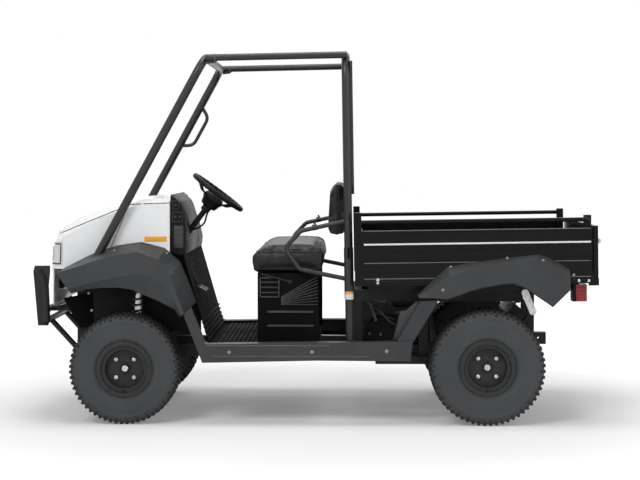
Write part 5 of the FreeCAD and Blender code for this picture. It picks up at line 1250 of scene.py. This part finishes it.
# %% The column's cable
CABLE_RUN = ((560, 272, 1100), (573.8, 270, 1068.4), (584.4, 270, 1020.4), (627.1, 270, 993.7),
             (668, 262, 985))
CABLE_BEND = 26
CABLE_RADIUS = 5
CABLE_SIDES = 10
bm = bmesh.new()
tube(bm, bent(CABLE_RUN, CABLE_BEND), CABLE_RADIUS, CABLE_SIDES)
piece("column_cable", bm, "black_plastic", "chassis")
print("column cable made")

# %% [markdown]
# ## The cage's front hoop
# The cage is bent from round tube: one hoop rises from the front of the frame, crosses over at the brow and
# comes down on the far side, and two roof bars run back from it. Turned arcs joined to straight rods would
# show their joints, so the whole hoop is one skin along one bent line.

# %% Front hoop and roof bars
CAGE_Y = 600.0
CAGE_RADIUS = 22.0
TUBE_SIDES = 28
HOOP_STEPS = 12
FRONT_ROOT = (1185.9, 735.3)
FRONT_BROW = (555.0, 1890.0)
FRONT_BEND = 105.0
ROOF_LINE = ((555.0, 1889.0), (-178.0, 1904.0))
ROOF_Y = 590.0
ROOF_RADIUS = 18.0


def hoop(bm, foot, top, bend):
    """A tube bent over the cab: up one side, across and down the other."""
    points = [(x, side * CAGE_Y, z) for (x, z), side in ((foot, 1), (top, 1), (top, -1), (foot, -1))]
    tube(bm, bent(points, bend, HOOP_STEPS), CAGE_RADIUS, TUBE_SIDES)


bm = bmesh.new()
hoop(bm, FRONT_ROOT, FRONT_BROW, FRONT_BEND)
for side in SIDES.values():
    start, end = [(x, side * ROOF_Y, z) for x, z in ROOF_LINE]
    rod(bm, start, end, ROOF_RADIUS, TUBE_SIDES)
dressed = piece("cage_front_dress", bm, "cage_paint", "chassis")
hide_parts("cage_front")
print("front hoop:", round(FRONT_BROW[1] - FRONT_ROOT[1]), "mm high")

# %% [markdown]
# ## The cage's rear hoop
# The rear hoop stands nearly upright behind the seat. Halfway up, a bar joins its legs, and each leg has a
# thicker sleeve where it passes the bed. The bar is a touch thinner than the legs, so its ends stay inside
# them and no two skins lie in the same place.

# %% Rear hoop
POST_TOP, POST_FOOT = (-170.0, 1906.0), (-194.7, 384.3)
POST_BEND = 135.0
BACK_BAR_Z = 1180.0
BACK_BAR_THINNER = 1.0
SLEEVE_Z = (643.0, 909.0)
SLEEVE_RADIUS = 24.5


def post_spot(z):
    """Where the rear post stands at a height."""
    return between((POST_TOP[0], POST_FOOT[0]), (POST_TOP[1] - z) / (POST_TOP[1] - POST_FOOT[1]))


bm = bmesh.new()
hoop(bm, POST_FOOT, POST_TOP, POST_BEND)
bar_x = post_spot(BACK_BAR_Z)
rod(bm, (bar_x, CAGE_Y, BACK_BAR_Z), (bar_x, -CAGE_Y, BACK_BAR_Z), CAGE_RADIUS - BACK_BAR_THINNER, TUBE_SIDES)
for side in SIDES.values():
    low, high = [(post_spot(z), side * CAGE_Y, z) for z in SLEEVE_Z]
    rod(bm, low, high, SLEEVE_RADIUS, TUBE_SIDES)
dressed = piece("cage_rear_dress", bm, "cage_paint", "chassis")
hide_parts("cage_rear")
print("rear hoop stands at", round(bar_x), "mm")

# %% [markdown]
# ## Grab handle
# A bent handle to pull up on is welded to the far front leg. It could be drawn with typed ends, but here they
# are shares of the leg's length, so it stays on the leg, and its two turns stand off the leg by one offset.

# %% Grab handle
GRAB_SHARES = (0.185, 0.387)
GRAB_TURN_SHARE = 0.16
GRAB_OFFSET = Vector((-62.0, 0.0, -33.0))
GRAB_RADIUS = 10.0
GRAB_BEND = 30.0
GRAB_SIDES = 16
root = Vector((FRONT_ROOT[0], -CAGE_Y, FRONT_ROOT[1]))
brow = Vector((FRONT_BROW[0], -CAGE_Y, FRONT_BROW[1]))
high, low = [brow.lerp(root, share) for share in GRAB_SHARES]
turns = [high.lerp(low, GRAB_TURN_SHARE) + GRAB_OFFSET, low.lerp(high, GRAB_TURN_SHARE) + GRAB_OFFSET]
bm = bmesh.new()
tube(bm, bent([high, *turns, low], GRAB_BEND), GRAB_RADIUS, GRAB_SIDES)
dressed = piece("grab_handle_dress", bm, "cage_paint", "chassis")
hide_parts("grab_handle")
print("grab handle:", round((high - low).length), "mm long")

# %% [markdown]
# ## Collars, gussets and clamps
# Where the roof bar meets the front hoop, a pale weld collar and a small gusset plate show, and the hip
# guard is clamped to the rear post with a bolt. They are small, but they say that the cage is built from
# parts and wasn't drawn in one line.

# %% Collars, gussets and clamps
COLLAR_X = 506.0
COLLAR = {"radius": 20.8, "length": 5.0, "sides": 40}
GUSSET = ((545.0, 1858.0), (505.0, 1862.0), (486.0, 1876.0), (486.0, 1884.0), (545.0, 1884.0))
GUSSET_HALF_THICK = 2.5
GUSSET_EDGE = 1
CLAMP = {"x": -11.5, "z": 1017.0, "reach": 12, "drop": 5, "radius": 16, "sides": 28}
CLAMP_BOLT = {"rise": 15, "radius": 6, "height": 8}
collar_share = (ROOF_LINE[0][0] - COLLAR_X) / (ROOF_LINE[0][0] - ROOF_LINE[1][0])
collar_z = between((ROOF_LINE[0][1], ROOF_LINE[1][1]), collar_share)
bm = bmesh.new()
for side in SIDES.values():
    start, end = [(x, side * ROOF_Y, collar_z) for x in (COLLAR_X, COLLAR_X - COLLAR["length"])]
    rod(bm, start, end, COLLAR["radius"], COLLAR["sides"])
piece("roof_collars", bm, "line_grey", "chassis")
bm = bmesh.new()
for side in SIDES.values():
    plate(bm, GUSSET, standing(side * ROOF_Y, side, GUSSET_HALF_THICK, GUSSET_HALF_THICK), GUSSET_EDGE)
    y, z = side * CAGE_Y, CLAMP["z"]
    front, back = (CLAMP["x"] - CLAMP["reach"], y, z), (CLAMP["x"] + CLAMP["reach"], y, z - CLAMP["drop"])
    rod(bm, front, back, CLAMP["radius"], CLAMP["sides"])
    hex_bolt(bm, (CLAMP["x"], y, z + CLAMP_BOLT["rise"]), Z_AXIS, CLAMP_BOLT["radius"], CLAMP_BOLT["height"])
piece("cage_gussets", bm, "cage_paint", "chassis")
print("collars and gussets at", round(COLLAR_X), "mm")

# %% [markdown]
# ## Slots and plain decals on the rear post
# The sleeve has a slot, drawn as a near-black patch that paints the shade inside it, and two decals wrap the
# post below it, each of one plain colour. Flat patches would cut into the round post, so each is a thin shell
# bent to its radius.

# %% Slots and plain decals
PATCH_STEPS = 16
PATCH_RADIUS = 24.6
SLOT = {"z": (852.0, 911.0), "thick": 0.6, "spread": 26}
DECALS = {
    "white": {"z": (642.0, 669.0), "finish": "decal_white"},
    "orange": {"z": (669.0, 683.0), "finish": "amber"},
}
DECAL_THICK = 0.5
DECAL_SPREAD = 120


def post_patch(bm, side, z, thick, spread):
    """A thin curved patch on the rear post's outer face, over a spread in degrees."""
    angles = [math.radians(spread * (k / PATCH_STEPS - 0.5)) for k in range(PATCH_STEPS + 1)]
    rows = []
    for level in z:
        x, y = post_spot(level), side * CAGE_Y
        for r in (PATCH_RADIUS, PATCH_RADIUS + thick):
            spots = [mm(x + r * math.sin(a), y + side * r * math.cos(a), level) for a in angles]
            rows.append([bm.verts.new(spot) for spot in spots])
    low_in, low_out, high_in, high_out = rows
    for first, second in ((low_in, low_out), (low_out, high_out), (high_out, high_in), (high_in, low_in)):
        for k in range(PATCH_STEPS):
            bm.faces.new((first[k], first[k + 1], second[k + 1], second[k]))
    for k in (0, PATCH_STEPS):
        bm.faces.new((low_in[k], low_out[k], high_out[k], high_in[k]))


bm = bmesh.new()
for side in SIDES.values():
    post_patch(bm, side, SLOT["z"], SLOT["thick"], SLOT["spread"])
# A near-black patch that paints the shade inside the slot.
piece("sleeve_slot_shade", bm, "slot_shade_black", "chassis")
for name, facts in DECALS.items():
    bm = bmesh.new()
    for side in SIDES.values():
        post_patch(bm, side, facts["z"], DECAL_THICK, DECAL_SPREAD)
    piece("post_decal_" + name, bm, facts["finish"], "chassis")
print("post: a slot and", len(DECALS), "plain decals a side")

# %% [markdown]
# ## Amber strips
# A side marker in clear amber sits on the white panel above each front fender. The panel is curved, so the
# strip's four corners look for the panel and a hull joins them, which lets it follow the panel's slant. Here
# and further down, a value called lost is used only where the line that looks for a surface misses it.

# %% Amber strips
STRIP_X = (758.0, 875.0)
STRIP_Z = (939.0, 965.0)
STRIP_DEPTH = (-4, 3)
STRIP_EDGE = 1.2
STRIP_LOST_Y = 560
panel_skin = skin_of("side_panels", "hood", "front_face")
bm = bmesh.new()
for side in SIDES.values():
    corners = []
    for x in STRIP_X:
        y = landed(panel_skin, x, sum(STRIP_Z) / 2, side, STRIP_LOST_Y)
        corners += [Vector((x, y + side * out, z)) for z in STRIP_Z for out in STRIP_DEPTH]
    hull(bm, corners, STRIP_EDGE)
piece("amber_strips", bm, "amber", "chassis")
print("amber strips:", round(STRIP_X[1] - STRIP_X[0]), "mm long")

# %% [markdown]
# ## Fender bolts
# Bolts with wide washers hold the fenders and the flaps behind them. The rear fenders tip up with the bed, so
# their bolts are another piece that rides on the bed.

# %% Fender bolts
FENDER_BOLT = (5.5, 4)
FENDER_BOLTS = ((1022.7, 894.2), (756.0, 878.0))
FLAP_BOLTS = ((1161.3, 672.1), (1146.9, 581.7))
REAR_FENDER_BOLTS = ((-711.0, 813.0), (-997.0, 861.0), (-1178.0, 850.0), (-1337.0, 775.0), (-668.0, 700.0))
FENDER_LOST_Y, REAR_FENDER_LOST_Y = 600, 700
fenders = ("front_fender_left", "front_fender_right")
bm = bmesh.new()
side_bolts(bm, skin_of(*fenders), FENDER_BOLTS, FENDER_BOLT, FENDER_LOST_Y)
side_bolts(bm, skin_of("mud_flaps", *fenders), FLAP_BOLTS, FENDER_BOLT, FENDER_LOST_Y)
piece("fender_bolts", bm, "dull_steel", "chassis")
bm = bmesh.new()
rear_skin = skin_of("rear_fender_left", "rear_fender_right")
side_bolts(bm, rear_skin, REAR_FENDER_BOLTS, FENDER_BOLT, REAR_FENDER_LOST_Y)
piece("rear_fender_bolts", bm, "dull_steel", "bed")
print("fender bolts a side:", len(FENDER_BOLTS) + len(FLAP_BOLTS) + len(REAR_FENDER_BOLTS))

# %% [markdown]
# ## Sills
# The moulded sill has a fold along its top and a fine band near its foot. Both are thin bars in a lighter
# grey, and on the fold that lighter grey is a painted highlight where the fold catches the light. A crease in
# the frame's own node isn't possible, since nodes stay as they are.

# %% Sill lines and bolts
SILL_LOOK_X = 200.0
SILL_LOST_Y = 722.0
SILL_SUNK = 3.0
SILL_FOLD = {"look_z": 412.6, "x": (-92.0, 545.0), "z": (409.6, 414.6), "proud": 2.0, "edge": 1}
SILL_BAND = {"look_z": 357.0, "x": (-292.0, 505.0), "z": (355.0, 359.0), "proud": 1.2, "edge": 0.5}
SILL_BOLT = (7, 5)
SILL_BOLTS = ((425.0, 378.0), (0.0, 380.0), (-382.0, 384.0))
sill_skin = skin_of("sill_left", "sill_right")
bm = bmesh.new()
for side in SIDES.values():
    for line in (SILL_FOLD, SILL_BAND):
        y = landed(sill_skin, SILL_LOOK_X, line["look_z"], side, SILL_LOST_Y)
        block(bm, line["x"], standing(y, side, SILL_SUNK, line["proud"]), line["z"], line["edge"])
# The fold's lighter grey is a painted highlight.
piece("sill_lines", bm, "grey_light", "chassis")
bm = bmesh.new()
side_bolts(bm, sill_skin, SILL_BOLTS, SILL_BOLT, SILL_LOST_Y)
piece("sill_bolts", bm, "dull_steel", "chassis")
print("sill bolts a side:", len(SILL_BOLTS))

# %% [markdown]
# ## Pressed lines and painted highlights on the bed
# The bed's steel sides are stiffened by pressed lines. Thin pale bars along them are painted highlights: the
# white one a painted reflection, the grey ones fainter. The bed stands a little lower in front. The lines are
# drawn level, because that is easy to read, and then turned together about the hinge that the bed tilts on.

# %% Bed lines and painted highlights
BED_X = (-1432.0, -268.0)
BED_LOOK_X = -850.0
BED_LOST_Y = 660.0
BED_RAKE = math.radians(0.83)
BED_PRESSINGS = (
    {"z": 1000.0, "half": 3.5, "proud": 2.2, "edge": 1.5},
    {"z": 905.0, "half": 3.5, "proud": 2.2, "edge": 1.5},
    {"z": 744.0, "half": 6.0, "proud": 3.0, "edge": 2},
)
PRESSING_SUNK = 3.0
HIGHLIGHT_SUNK, HIGHLIGHT_PROUD, HIGHLIGHT_EDGE_SIZE = 2.0, 3.4, 1
# Pale bars along the pressings: painted highlights, the bright one a painted reflection.
BED_HIGHLIGHTS = {
    "bright": {"finish": "bed_reflection_white", "levels": (940.0,), "half": 4.5},
    "dull": {"finish": "line_grey", "levels": (1009.0, 843.0, 762.0), "half": 2.4},
}
bed_hinge = Vector(joints["bed_tilt"]["pos_m"])
bed_skin = skin_of("bed_tub")


def bed_line(bm, side, z, half, sunk, proud, edge):
    """A level bar along the bed's side."""
    y = landed(bed_skin, BED_LOOK_X, z, side, BED_LOST_Y)
    block(bm, BED_X, standing(y, side, sunk, proud), (z - half, z + half), edge)


def raked(bm):
    """Turns what was drawn level about the tilt hinge, as the bed stands."""
    bmesh.ops.rotate(bm, cent=bed_hinge, matrix=Matrix.Rotation(BED_RAKE, 3, "Y"), verts=bm.verts)


bm = bmesh.new()
for side in SIDES.values():
    for pressing in BED_PRESSINGS:
        bed_line(bm, side, sunk=PRESSING_SUNK, **pressing)
raked(bm)
piece("bed_lines", bm, "bed_paint", "bed")
for name, highlight in BED_HIGHLIGHTS.items():
    bm = bmesh.new()
    for side in SIDES.values():
        for z in highlight["levels"]:
            bed_line(bm, side, z, highlight["half"], HIGHLIGHT_SUNK, HIGHLIGHT_PROUD, HIGHLIGHT_EDGE_SIZE)
    raked(bm)
    # Painted highlights along the bed's sides.
    piece("bed_highlight_" + name, bm, highlight["finish"], "bed")
print("bed:", len(BED_PRESSINGS), "pressed lines,", len(BED_HIGHLIGHTS), "kinds of stripe")

# %% [markdown]
# ## Bed bolts and tailgate latches
# Bright bolts hold the bed's corners. The tailgate's latches are a block with a round bolt that slides into
# the bed's post. They ride on the tailgate, so they drop with it.

# %% Bed bolts and tailgate latches
BED_BOLT = (6.5, 5)
BED_BOLTS = ((-337.0, 746.0), (-337.0, 731.0), (-1369.0, 745.0), (-1420.0, 745.0))
BED_BOLT_LOST_Y = 655.0
LATCH_Z = 946.0
LATCH_SPAN = (60.0, 12.0)
LATCH_DEPTH = (14.0, 4.0)
LATCH_HALF_HEIGHT = 14.0
LATCH_EDGE = 4
LATCH_ROD = {"inset": 8.0, "depth": 10.0, "radius": 7, "sides": 20}
LATCH_MAX_Y = 620.0
bm = bmesh.new()
side_bolts(bm, bed_skin, BED_BOLTS, BED_BOLT, BED_BOLT_LOST_Y)
piece("bed_bolts", bm, "bright_steel", "bed")
gate_low, gate_high = [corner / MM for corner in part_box("tailgate")]
gate_half = min(gate_high.y, LATCH_MAX_Y)
bm = bmesh.new()
for side in SIDES.values():
    y = sorted(side * (gate_half - inset) for inset in LATCH_SPAN)
    z = (LATCH_Z - LATCH_HALF_HEIGHT, LATCH_Z + LATCH_HALF_HEIGHT)
    block(bm, (gate_low.x - LATCH_DEPTH[0], gate_low.x + LATCH_DEPTH[1]), y, z, LATCH_EDGE)
    rod_x = gate_low.x - LATCH_ROD["depth"]
    inner, outer = [(rod_x, side * (gate_half - i), LATCH_Z) for i in (LATCH_SPAN[0], LATCH_ROD["inset"])]
    rod(bm, inner, outer, LATCH_ROD["radius"], LATCH_ROD["sides"])
piece("tailgate_latches", bm, "bright_steel", "tailgate")
print("latches at", round(gate_low.x), "mm")

# %% [markdown]
# ## Front struts
# Inboard of each front wheel stands a strut: a damper inside a coil of round wire. A screw modifier could wind
# the wire, but here it is a tube along a helix written as a formula, because it has to lean with the strut
# and start and end under its two plates.

# %% Front struts
STRUT_FOOT = (936.0, 428.0, 320.0)
STRUT_HEAD = (920.0, 397.0, 682.0)
DAMPER = {"end_share": 0.62, "radius": 24, "sides": 32}
SPRING_PLATE = {"thick": 8, "radius": 44, "sides": 40}
STRUT_ROD = {"start_share": 0.6, "radius": 8, "sides": 24}
COIL_SHARES = (0.40, 0.93)
COIL_RADIUS = 37.0
COIL_WIRE = 5.5
COIL_WIRE_SIDES = 10
COIL_TURNS = 6
COIL_STEPS = 28
COIL_END_SHARE = 0.02


def coil_path(low, high, axis):
    """A helix round the line from low to high, a little clear of both ends."""
    across = axis.orthogonal().normalized()
    over = axis.cross(across)
    steps = COIL_TURNS * COIL_STEPS
    path = []
    for k in range(steps + 1):
        a = 2 * math.pi * k / COIL_STEPS
        level = low + (high - low) * (COIL_END_SHARE + (1 - 2 * COIL_END_SHARE) * k / steps)
        path.append(level + (across * math.cos(a) + over * math.sin(a)) * COIL_RADIUS)
    return path


for name, side in SIDES.items():
    foot, head = [Vector((x, side * y, z)) for x, y, z in (STRUT_FOOT, STRUT_HEAD)]
    line = head - foot
    axis = line.normalized()
    low, high = [foot + line * share for share in COIL_SHARES]
    bm = bmesh.new()
    rod(bm, foot, foot + line * DAMPER["end_share"], DAMPER["radius"], DAMPER["sides"])
    thick = axis * SPRING_PLATE["thick"]
    for start, end in ((low - thick, low), (high, high + thick)):
        rod(bm, start, end, SPRING_PLATE["radius"], SPRING_PLATE["sides"])
    made = piece("strut_body_" + name, bm, "frame_paint", "knuckle_" + name)
    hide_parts("strut_spring_" + name)
    bm = bmesh.new()
    rod(bm, foot + line * STRUT_ROD["start_share"], head, STRUT_ROD["radius"], STRUT_ROD["sides"])
    piece("strut_rod_" + name, bm, "bright_steel", "knuckle_" + name)
    bm = bmesh.new()
    tube(bm, coil_path(low, high, axis), COIL_WIRE, COIL_WIRE_SIDES)
    piece("strut_coil_" + name, bm, "coil_paint", "knuckle_" + name)
print("struts:", COIL_TURNS, "turns of wire each")

# %% [markdown]
# ## The fold inside the rear leg
# The cover in front of the rear wheel is folded inwards, and its inner face shows past the outer one. It is a
# second plate behind the first, cut to its own outline.

# %% Fold inside the rear leg
LEG_X = (-649.0, -432.0)
LEG_Z = (428.0, 648.0)
LEG_FOLD_SHARES = ((1.08, 0.04), (0.91, 0.73), (0.79, 0.72), (0.55, 0.93), (0.43, 0.95), (0.75, 0.04))
LEG_FOLD_Y = (640.0, 690.0)
LEG_FOLD_EDGE = 6
bm = bmesh.new()
for side in SIDES.values():
    plate(bm, from_shares(LEG_FOLD_SHARES, LEG_X, LEG_Z), sorted(side * y for y in LEG_FOLD_Y), LEG_FOLD_EDGE)
piece("rear_leg_folds", bm, "grey_plastic", "chassis")
print("rear leg folds made")

# %% [markdown]
# ## Engine bay
# Behind the near rear post one looks into the engine bay. Little of it shows, so it has only what the eye
# picks out there: a dark filter can with two bands, a bright pipe, cables, hoses and bolts. The can is turned
# from one profile, and each cable is a tube that is held at both ends.

# %% Filter can and pipe
CAN_START = (-424.0, 300.0, 630.0)
CAN_RADIUS = 56.0
CAN_BAND = 4.0
CAN_END_SHARES = (0.86, 0.8)
CAN_STEPS = ((8, 34), (38, 60), (64, 104))
CAN_LENGTH = 112
CAN_TURNS = 48
PIPE = {"run": ((-384.0, 290.0, 684.0), (-396.0, 290.0, 634.0), (-556.0, 290.0, 620.0)), "bend": 45}
DRAIN = ((-306.0, 270.0, 620.0), (-386.0, 270.0, 606.0))
PIPE_RADIUS = 9
can = [(AXLE_POLE, 0), (CAN_RADIUS * CAN_END_SHARES[0], 0)]
for number, (start, end) in enumerate(CAN_STEPS):
    radius = CAN_RADIUS - CAN_BAND * (number % 2)
    can += [(radius, start), (radius, end)]
can += [(CAN_RADIUS * CAN_END_SHARES[1], CAN_LENGTH), (AXLE_POLE, CAN_LENGTH)]
bm = bmesh.new()
turned(bm, can, CAN_START, CAN_TURNS, -X_AXIS)
piece("filter_can", bm, "black_plastic", "chassis")
bm = bmesh.new()
tube(bm, bent(PIPE["run"], PIPE["bend"]), PIPE_RADIUS, 16)
rod(bm, *DRAIN, PIPE_RADIUS)
piece("bright_pipe", bm, "dull_steel", "chassis")
print("filter can:", CAN_LENGTH, "mm long")

# %% Cables, hoses and bolts in the engine bay
CABLES = (((-330, 250, 570), (-372, 262, 540), (-400, 262, 500), (-436, 250, 480)),
          ((-340, 236, 548), (-388, 240, 520), (-430, 240, 508)))
HOSES = (((-215, 300, 668), (-330, 300, 660), (-505, 300, 650)),
         ((-250, 290, 640), (-300, 290, 600), (-335, 262, 500)),
         ((-560, 300, 600), (-520, 300, 560), (-440, 262, 545)))
ENGINE_BOLTS = ((-250.0, 560.0), (-252.0, 470.0), (-300.0, 430.0), (-360.0, 425.0))
ENGINE_BOLT = {"y": (236, 250), "radius": 9, "sides": 6}
bm = bmesh.new()
for runs, bend, radius, sides in ((CABLES, 25, 4, 10), (HOSES, 30, 8, 14)):
    for run in runs:
        tube(bm, bent(run, bend), radius, sides)
for x, z in ENGINE_BOLTS:
    start, end = [(x, y, z) for y in ENGINE_BOLT["y"]]
    rod(bm, start, end, ENGINE_BOLT["radius"], ENGINE_BOLT["sides"])
piece("engine_cables", bm, "line_grey", "chassis")
print("engine bay:", len(CABLES) + len(HOSES), "cables and hoses")

# %% [markdown]
# ## Rubber boots
# Two rubber boots keep dirt off moving rods: one stands in front of the rear wheel and one lies behind the
# front wheel. A boot is folded like a bellows, so it is a tube whose radius goes in and out at every step.

# %% Rubber boots
BOOTS = (
    {"start": (-612.0, 335.0, 556.0), "end": (-636.0, 335.0, 396.0), "radius": 20, "folds": 12},
    {"start": (776.0, 300.0, 439.0), "end": (675.0, 300.0, 476.0), "radius": 15, "folds": 8},
)
FOLD_SHARE = 0.78
BOOT_SIDES = 20


def bellows(bm, start, end, radius, folds):
    """A boot along a line, its radius going in and out."""
    steps = folds * 2
    path = [Vector(start).lerp(Vector(end), k / steps) for k in range(steps + 1)]
    sizes = [radius * (1.0 if k % 2 else FOLD_SHARE) for k in range(steps + 1)]
    tube(bm, path, sizes, BOOT_SIDES)


bm = bmesh.new()
for boot in BOOTS:
    bellows(bm, **boot)
piece("rubber_boots", bm, "grey_plastic", "chassis")
print("boots:", len(BOOTS))

# %% [markdown]
# ## Grille bars
# The frame's grille has its level bars. Thin uprights stand behind them and stop stones. They are spread
# evenly over the width that the frame's box gives.

# %% Grille uprights
GRILLE_UPRIGHTS = 15
UPRIGHT_DEPTH = 8.0
UPRIGHT_INSET = 2.0
UPRIGHT_RADIUS = 2.5
grille_low, grille_high = [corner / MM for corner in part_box("grille")]
bm = bmesh.new()
x = grille_low.x + UPRIGHT_DEPTH
for number in range(GRILLE_UPRIGHTS):
    y = between((grille_low.y, grille_high.y), (number + 0.5) / GRILLE_UPRIGHTS)
    rod(bm, (x, y, grille_low.z + UPRIGHT_INSET), (x, y, grille_high.z - UPRIGHT_INSET), UPRIGHT_RADIUS, 10)
piece("grille_uprights", bm, "black_plastic", "chassis")
print("grille:", GRILLE_UPRIGHTS, "uprights")

# %% [markdown]
# ## Lamp rims and rings
# Each headlamp is a nearly square lens with a round bowl behind it. The lens is curved, so its rim and the
# bowl's ring are tubes through points that look for the lens from the front, and they lie on it everywhere.

# %% Headlamp rims and rings
LAMP_Y = (338.0, 490.0)
LAMP_Z = (818.0, 922.0)
LAMP_RIM = {"radius": 4, "sides": 10}
RIM_STEPS = 8
BOWL = (414.0, 870.0)
BOWL_RADIUS = 40.0
BOWL_RIM = {"radius": 2.5, "sides": 8}
BOWL_STEPS = 40
LAMP_LOST_X = 1340.0
lamp_skin = skin_of("headlamps")


def on_lamp(y, z):
    """A point on the lamp's lens, found from the front."""
    hit = lamp_skin.ray_cast(mm(OUTSIDE, y, z), -X_AXIS)[0]
    return (hit.x / MM if hit else LAMP_LOST_X), y, z


rims, rings = bmesh.new(), bmesh.new()
corners = [Vector((LAMP_Y[a], LAMP_Z[b])) for a, b in ((0, 0), (1, 0), (1, 1), (0, 1))]
for side in SIDES.values():
    outline = []
    for start, end in zip(corners, corners[1:] + corners[:1]):
        spots = [start.lerp(end, step / RIM_STEPS) for step in range(RIM_STEPS)]
        outline += [on_lamp(side * spot.x, spot.y) for spot in spots]
    tube(rims, outline, **LAMP_RIM, closed=True)
    bowl = [(side * BOWL[0] + BOWL_RADIUS * math.cos(a), BOWL[1] + BOWL_RADIUS * math.sin(a))
            for a in around(BOWL_STEPS)]
    tube(rings, [on_lamp(*spot) for spot in bowl], **BOWL_RIM, closed=True)
piece("headlamp_rims", rims, "trim_black", "chassis")
piece("headlamp_rings", rings, "dull_steel", "chassis")
print("headlamps: a rim and a ring each")

# %% [markdown]
# ## Ribs on the tail lamps
# A tail lamp's lens has level ribs that spread its light. Four thin rods on the outer face of each lens,
# half sunk into it, are enough at this size.

# %% Tail lamp ribs
LENS_RIBS = 4
LENS_RIB = {"inset": 4.0, "radius": 1.5, "sides": 8}
lens_low, lens_high = [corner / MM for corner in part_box("tail_lamps")]
bm = bmesh.new()
for side in SIDES.values():
    for number in range(LENS_RIBS):
        y, z = side * lens_high.y, between((lens_low.z, lens_high.z), (number + 1) / (LENS_RIBS + 1))
        start, end = (lens_low.x + LENS_RIB["inset"], y, z), (lens_high.x - LENS_RIB["inset"], y, z)
        rod(bm, start, end, LENS_RIB["radius"], LENS_RIB["sides"])
piece("tail_lamp_ribs", bm, "tail_lamp_lens", "bed")
print("tail lamps:", LENS_RIBS, "ribs each")

# %% [markdown]
# ## Front guard
# The guard keeps branches off the grille: a plate at each end, a bent tube inside it, two bars across and
# four stays back to the frame. Its places are shares of the guard's own depth and height, so the guard could
# be made taller by one number.

# %% Front guard
GUARD_X = (1397.0, 1487.0)
GUARD_Z = (483.0, 802.0)
GUARD_HALF = 386.0
GUARD_PLATE_THICK = 5.0
GUARD_PLATE_EDGE = 1
GUARD_PLATE_SHARES = ((1.00, 0.90), (0.91, 1.00), (0.00, 1.00), (0.00, 0.90), (0.10, 0.62), (0.10, 0.02),
                      (0.14, 0.00), (0.74, 0.00))
GUARD_TUBE_SHARES = ((0.70, 0.93), (0.30, 0.72), (0.22, 0.06))
GUARD_TUBE = {"bend": 50, "radius": 20.0, "sides": 20}
GUARD_BAR_SHARES = ((0.24, 0.26), (0.24, 0.08))
GUARD_BAR = {"radius": 17.0, "sides": 24}
STAY_FOOT_ZS = (565.0, 340.0)
STAY_FOOT_X = 1266.0
STAY_Y = 250.0
STAY = {"radius": 15.0, "sides": 18}
bm = bmesh.new()
guard_plate = from_shares(GUARD_PLATE_SHARES, GUARD_X, GUARD_Z)
guard_line = from_shares(GUARD_TUBE_SHARES, GUARD_X, GUARD_Z)
for side in SIDES.values():
    y = side * GUARD_HALF
    plate(bm, guard_plate, standing(y, side, GUARD_PLATE_THICK, 0), GUARD_PLATE_EDGE)
    bend = bent([(x, y, z) for x, z in guard_line], GUARD_TUBE["bend"])
    tube(bm, bend, GUARD_TUBE["radius"], GUARD_TUBE["sides"])
for (x, z), foot_z in zip(from_shares(GUARD_BAR_SHARES, GUARD_X, GUARD_Z), STAY_FOOT_ZS):
    rod(bm, (x, -GUARD_HALF, z), (x, GUARD_HALF, z), **GUARD_BAR)
    for side in SIDES.values():
        rod(bm, (x, side * STAY_Y, z), (STAY_FOOT_X, side * STAY_Y, foot_z), **STAY)
dressed = piece("front_guard_dress", bm, "guard_paint", "chassis")
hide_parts("front_guard")
print("guard:", 2 * GUARD_HALF, "mm wide")

# %% [markdown]
# ## Wheel well liner and the shade it paints
# Between the front wheel and the frame hangs a thin near-black liner, whose black also paints the shade inside
# the well. Without it one could look right through the front of the vehicle, past the wheel. One outline, cut
# from sheet, is all that it is.

# %% Wheel well liner, whose near-black paints the well's shade
LINER_X = (600.0, 1182.0)
LINER_Z = (448.0, 690.0)
LINER_SHARES = ((1.00, 1.00), (0.12, 1.00), (0.00, 0.55), (0.00, 0.00), (0.98, 0.00))
LINER_Y = (318.0, 322.0)
LINER_EDGE = 1
bm = bmesh.new()
for side in SIDES.values():
    plate(bm, from_shares(LINER_SHARES, LINER_X, LINER_Z), sorted(side * y for y in LINER_Y), LINER_EDGE)
# Its near-black also paints the shade inside the wheel well.
piece("wheel_well_shade_liner", bm, "black_plastic", "chassis")
print("liner made")
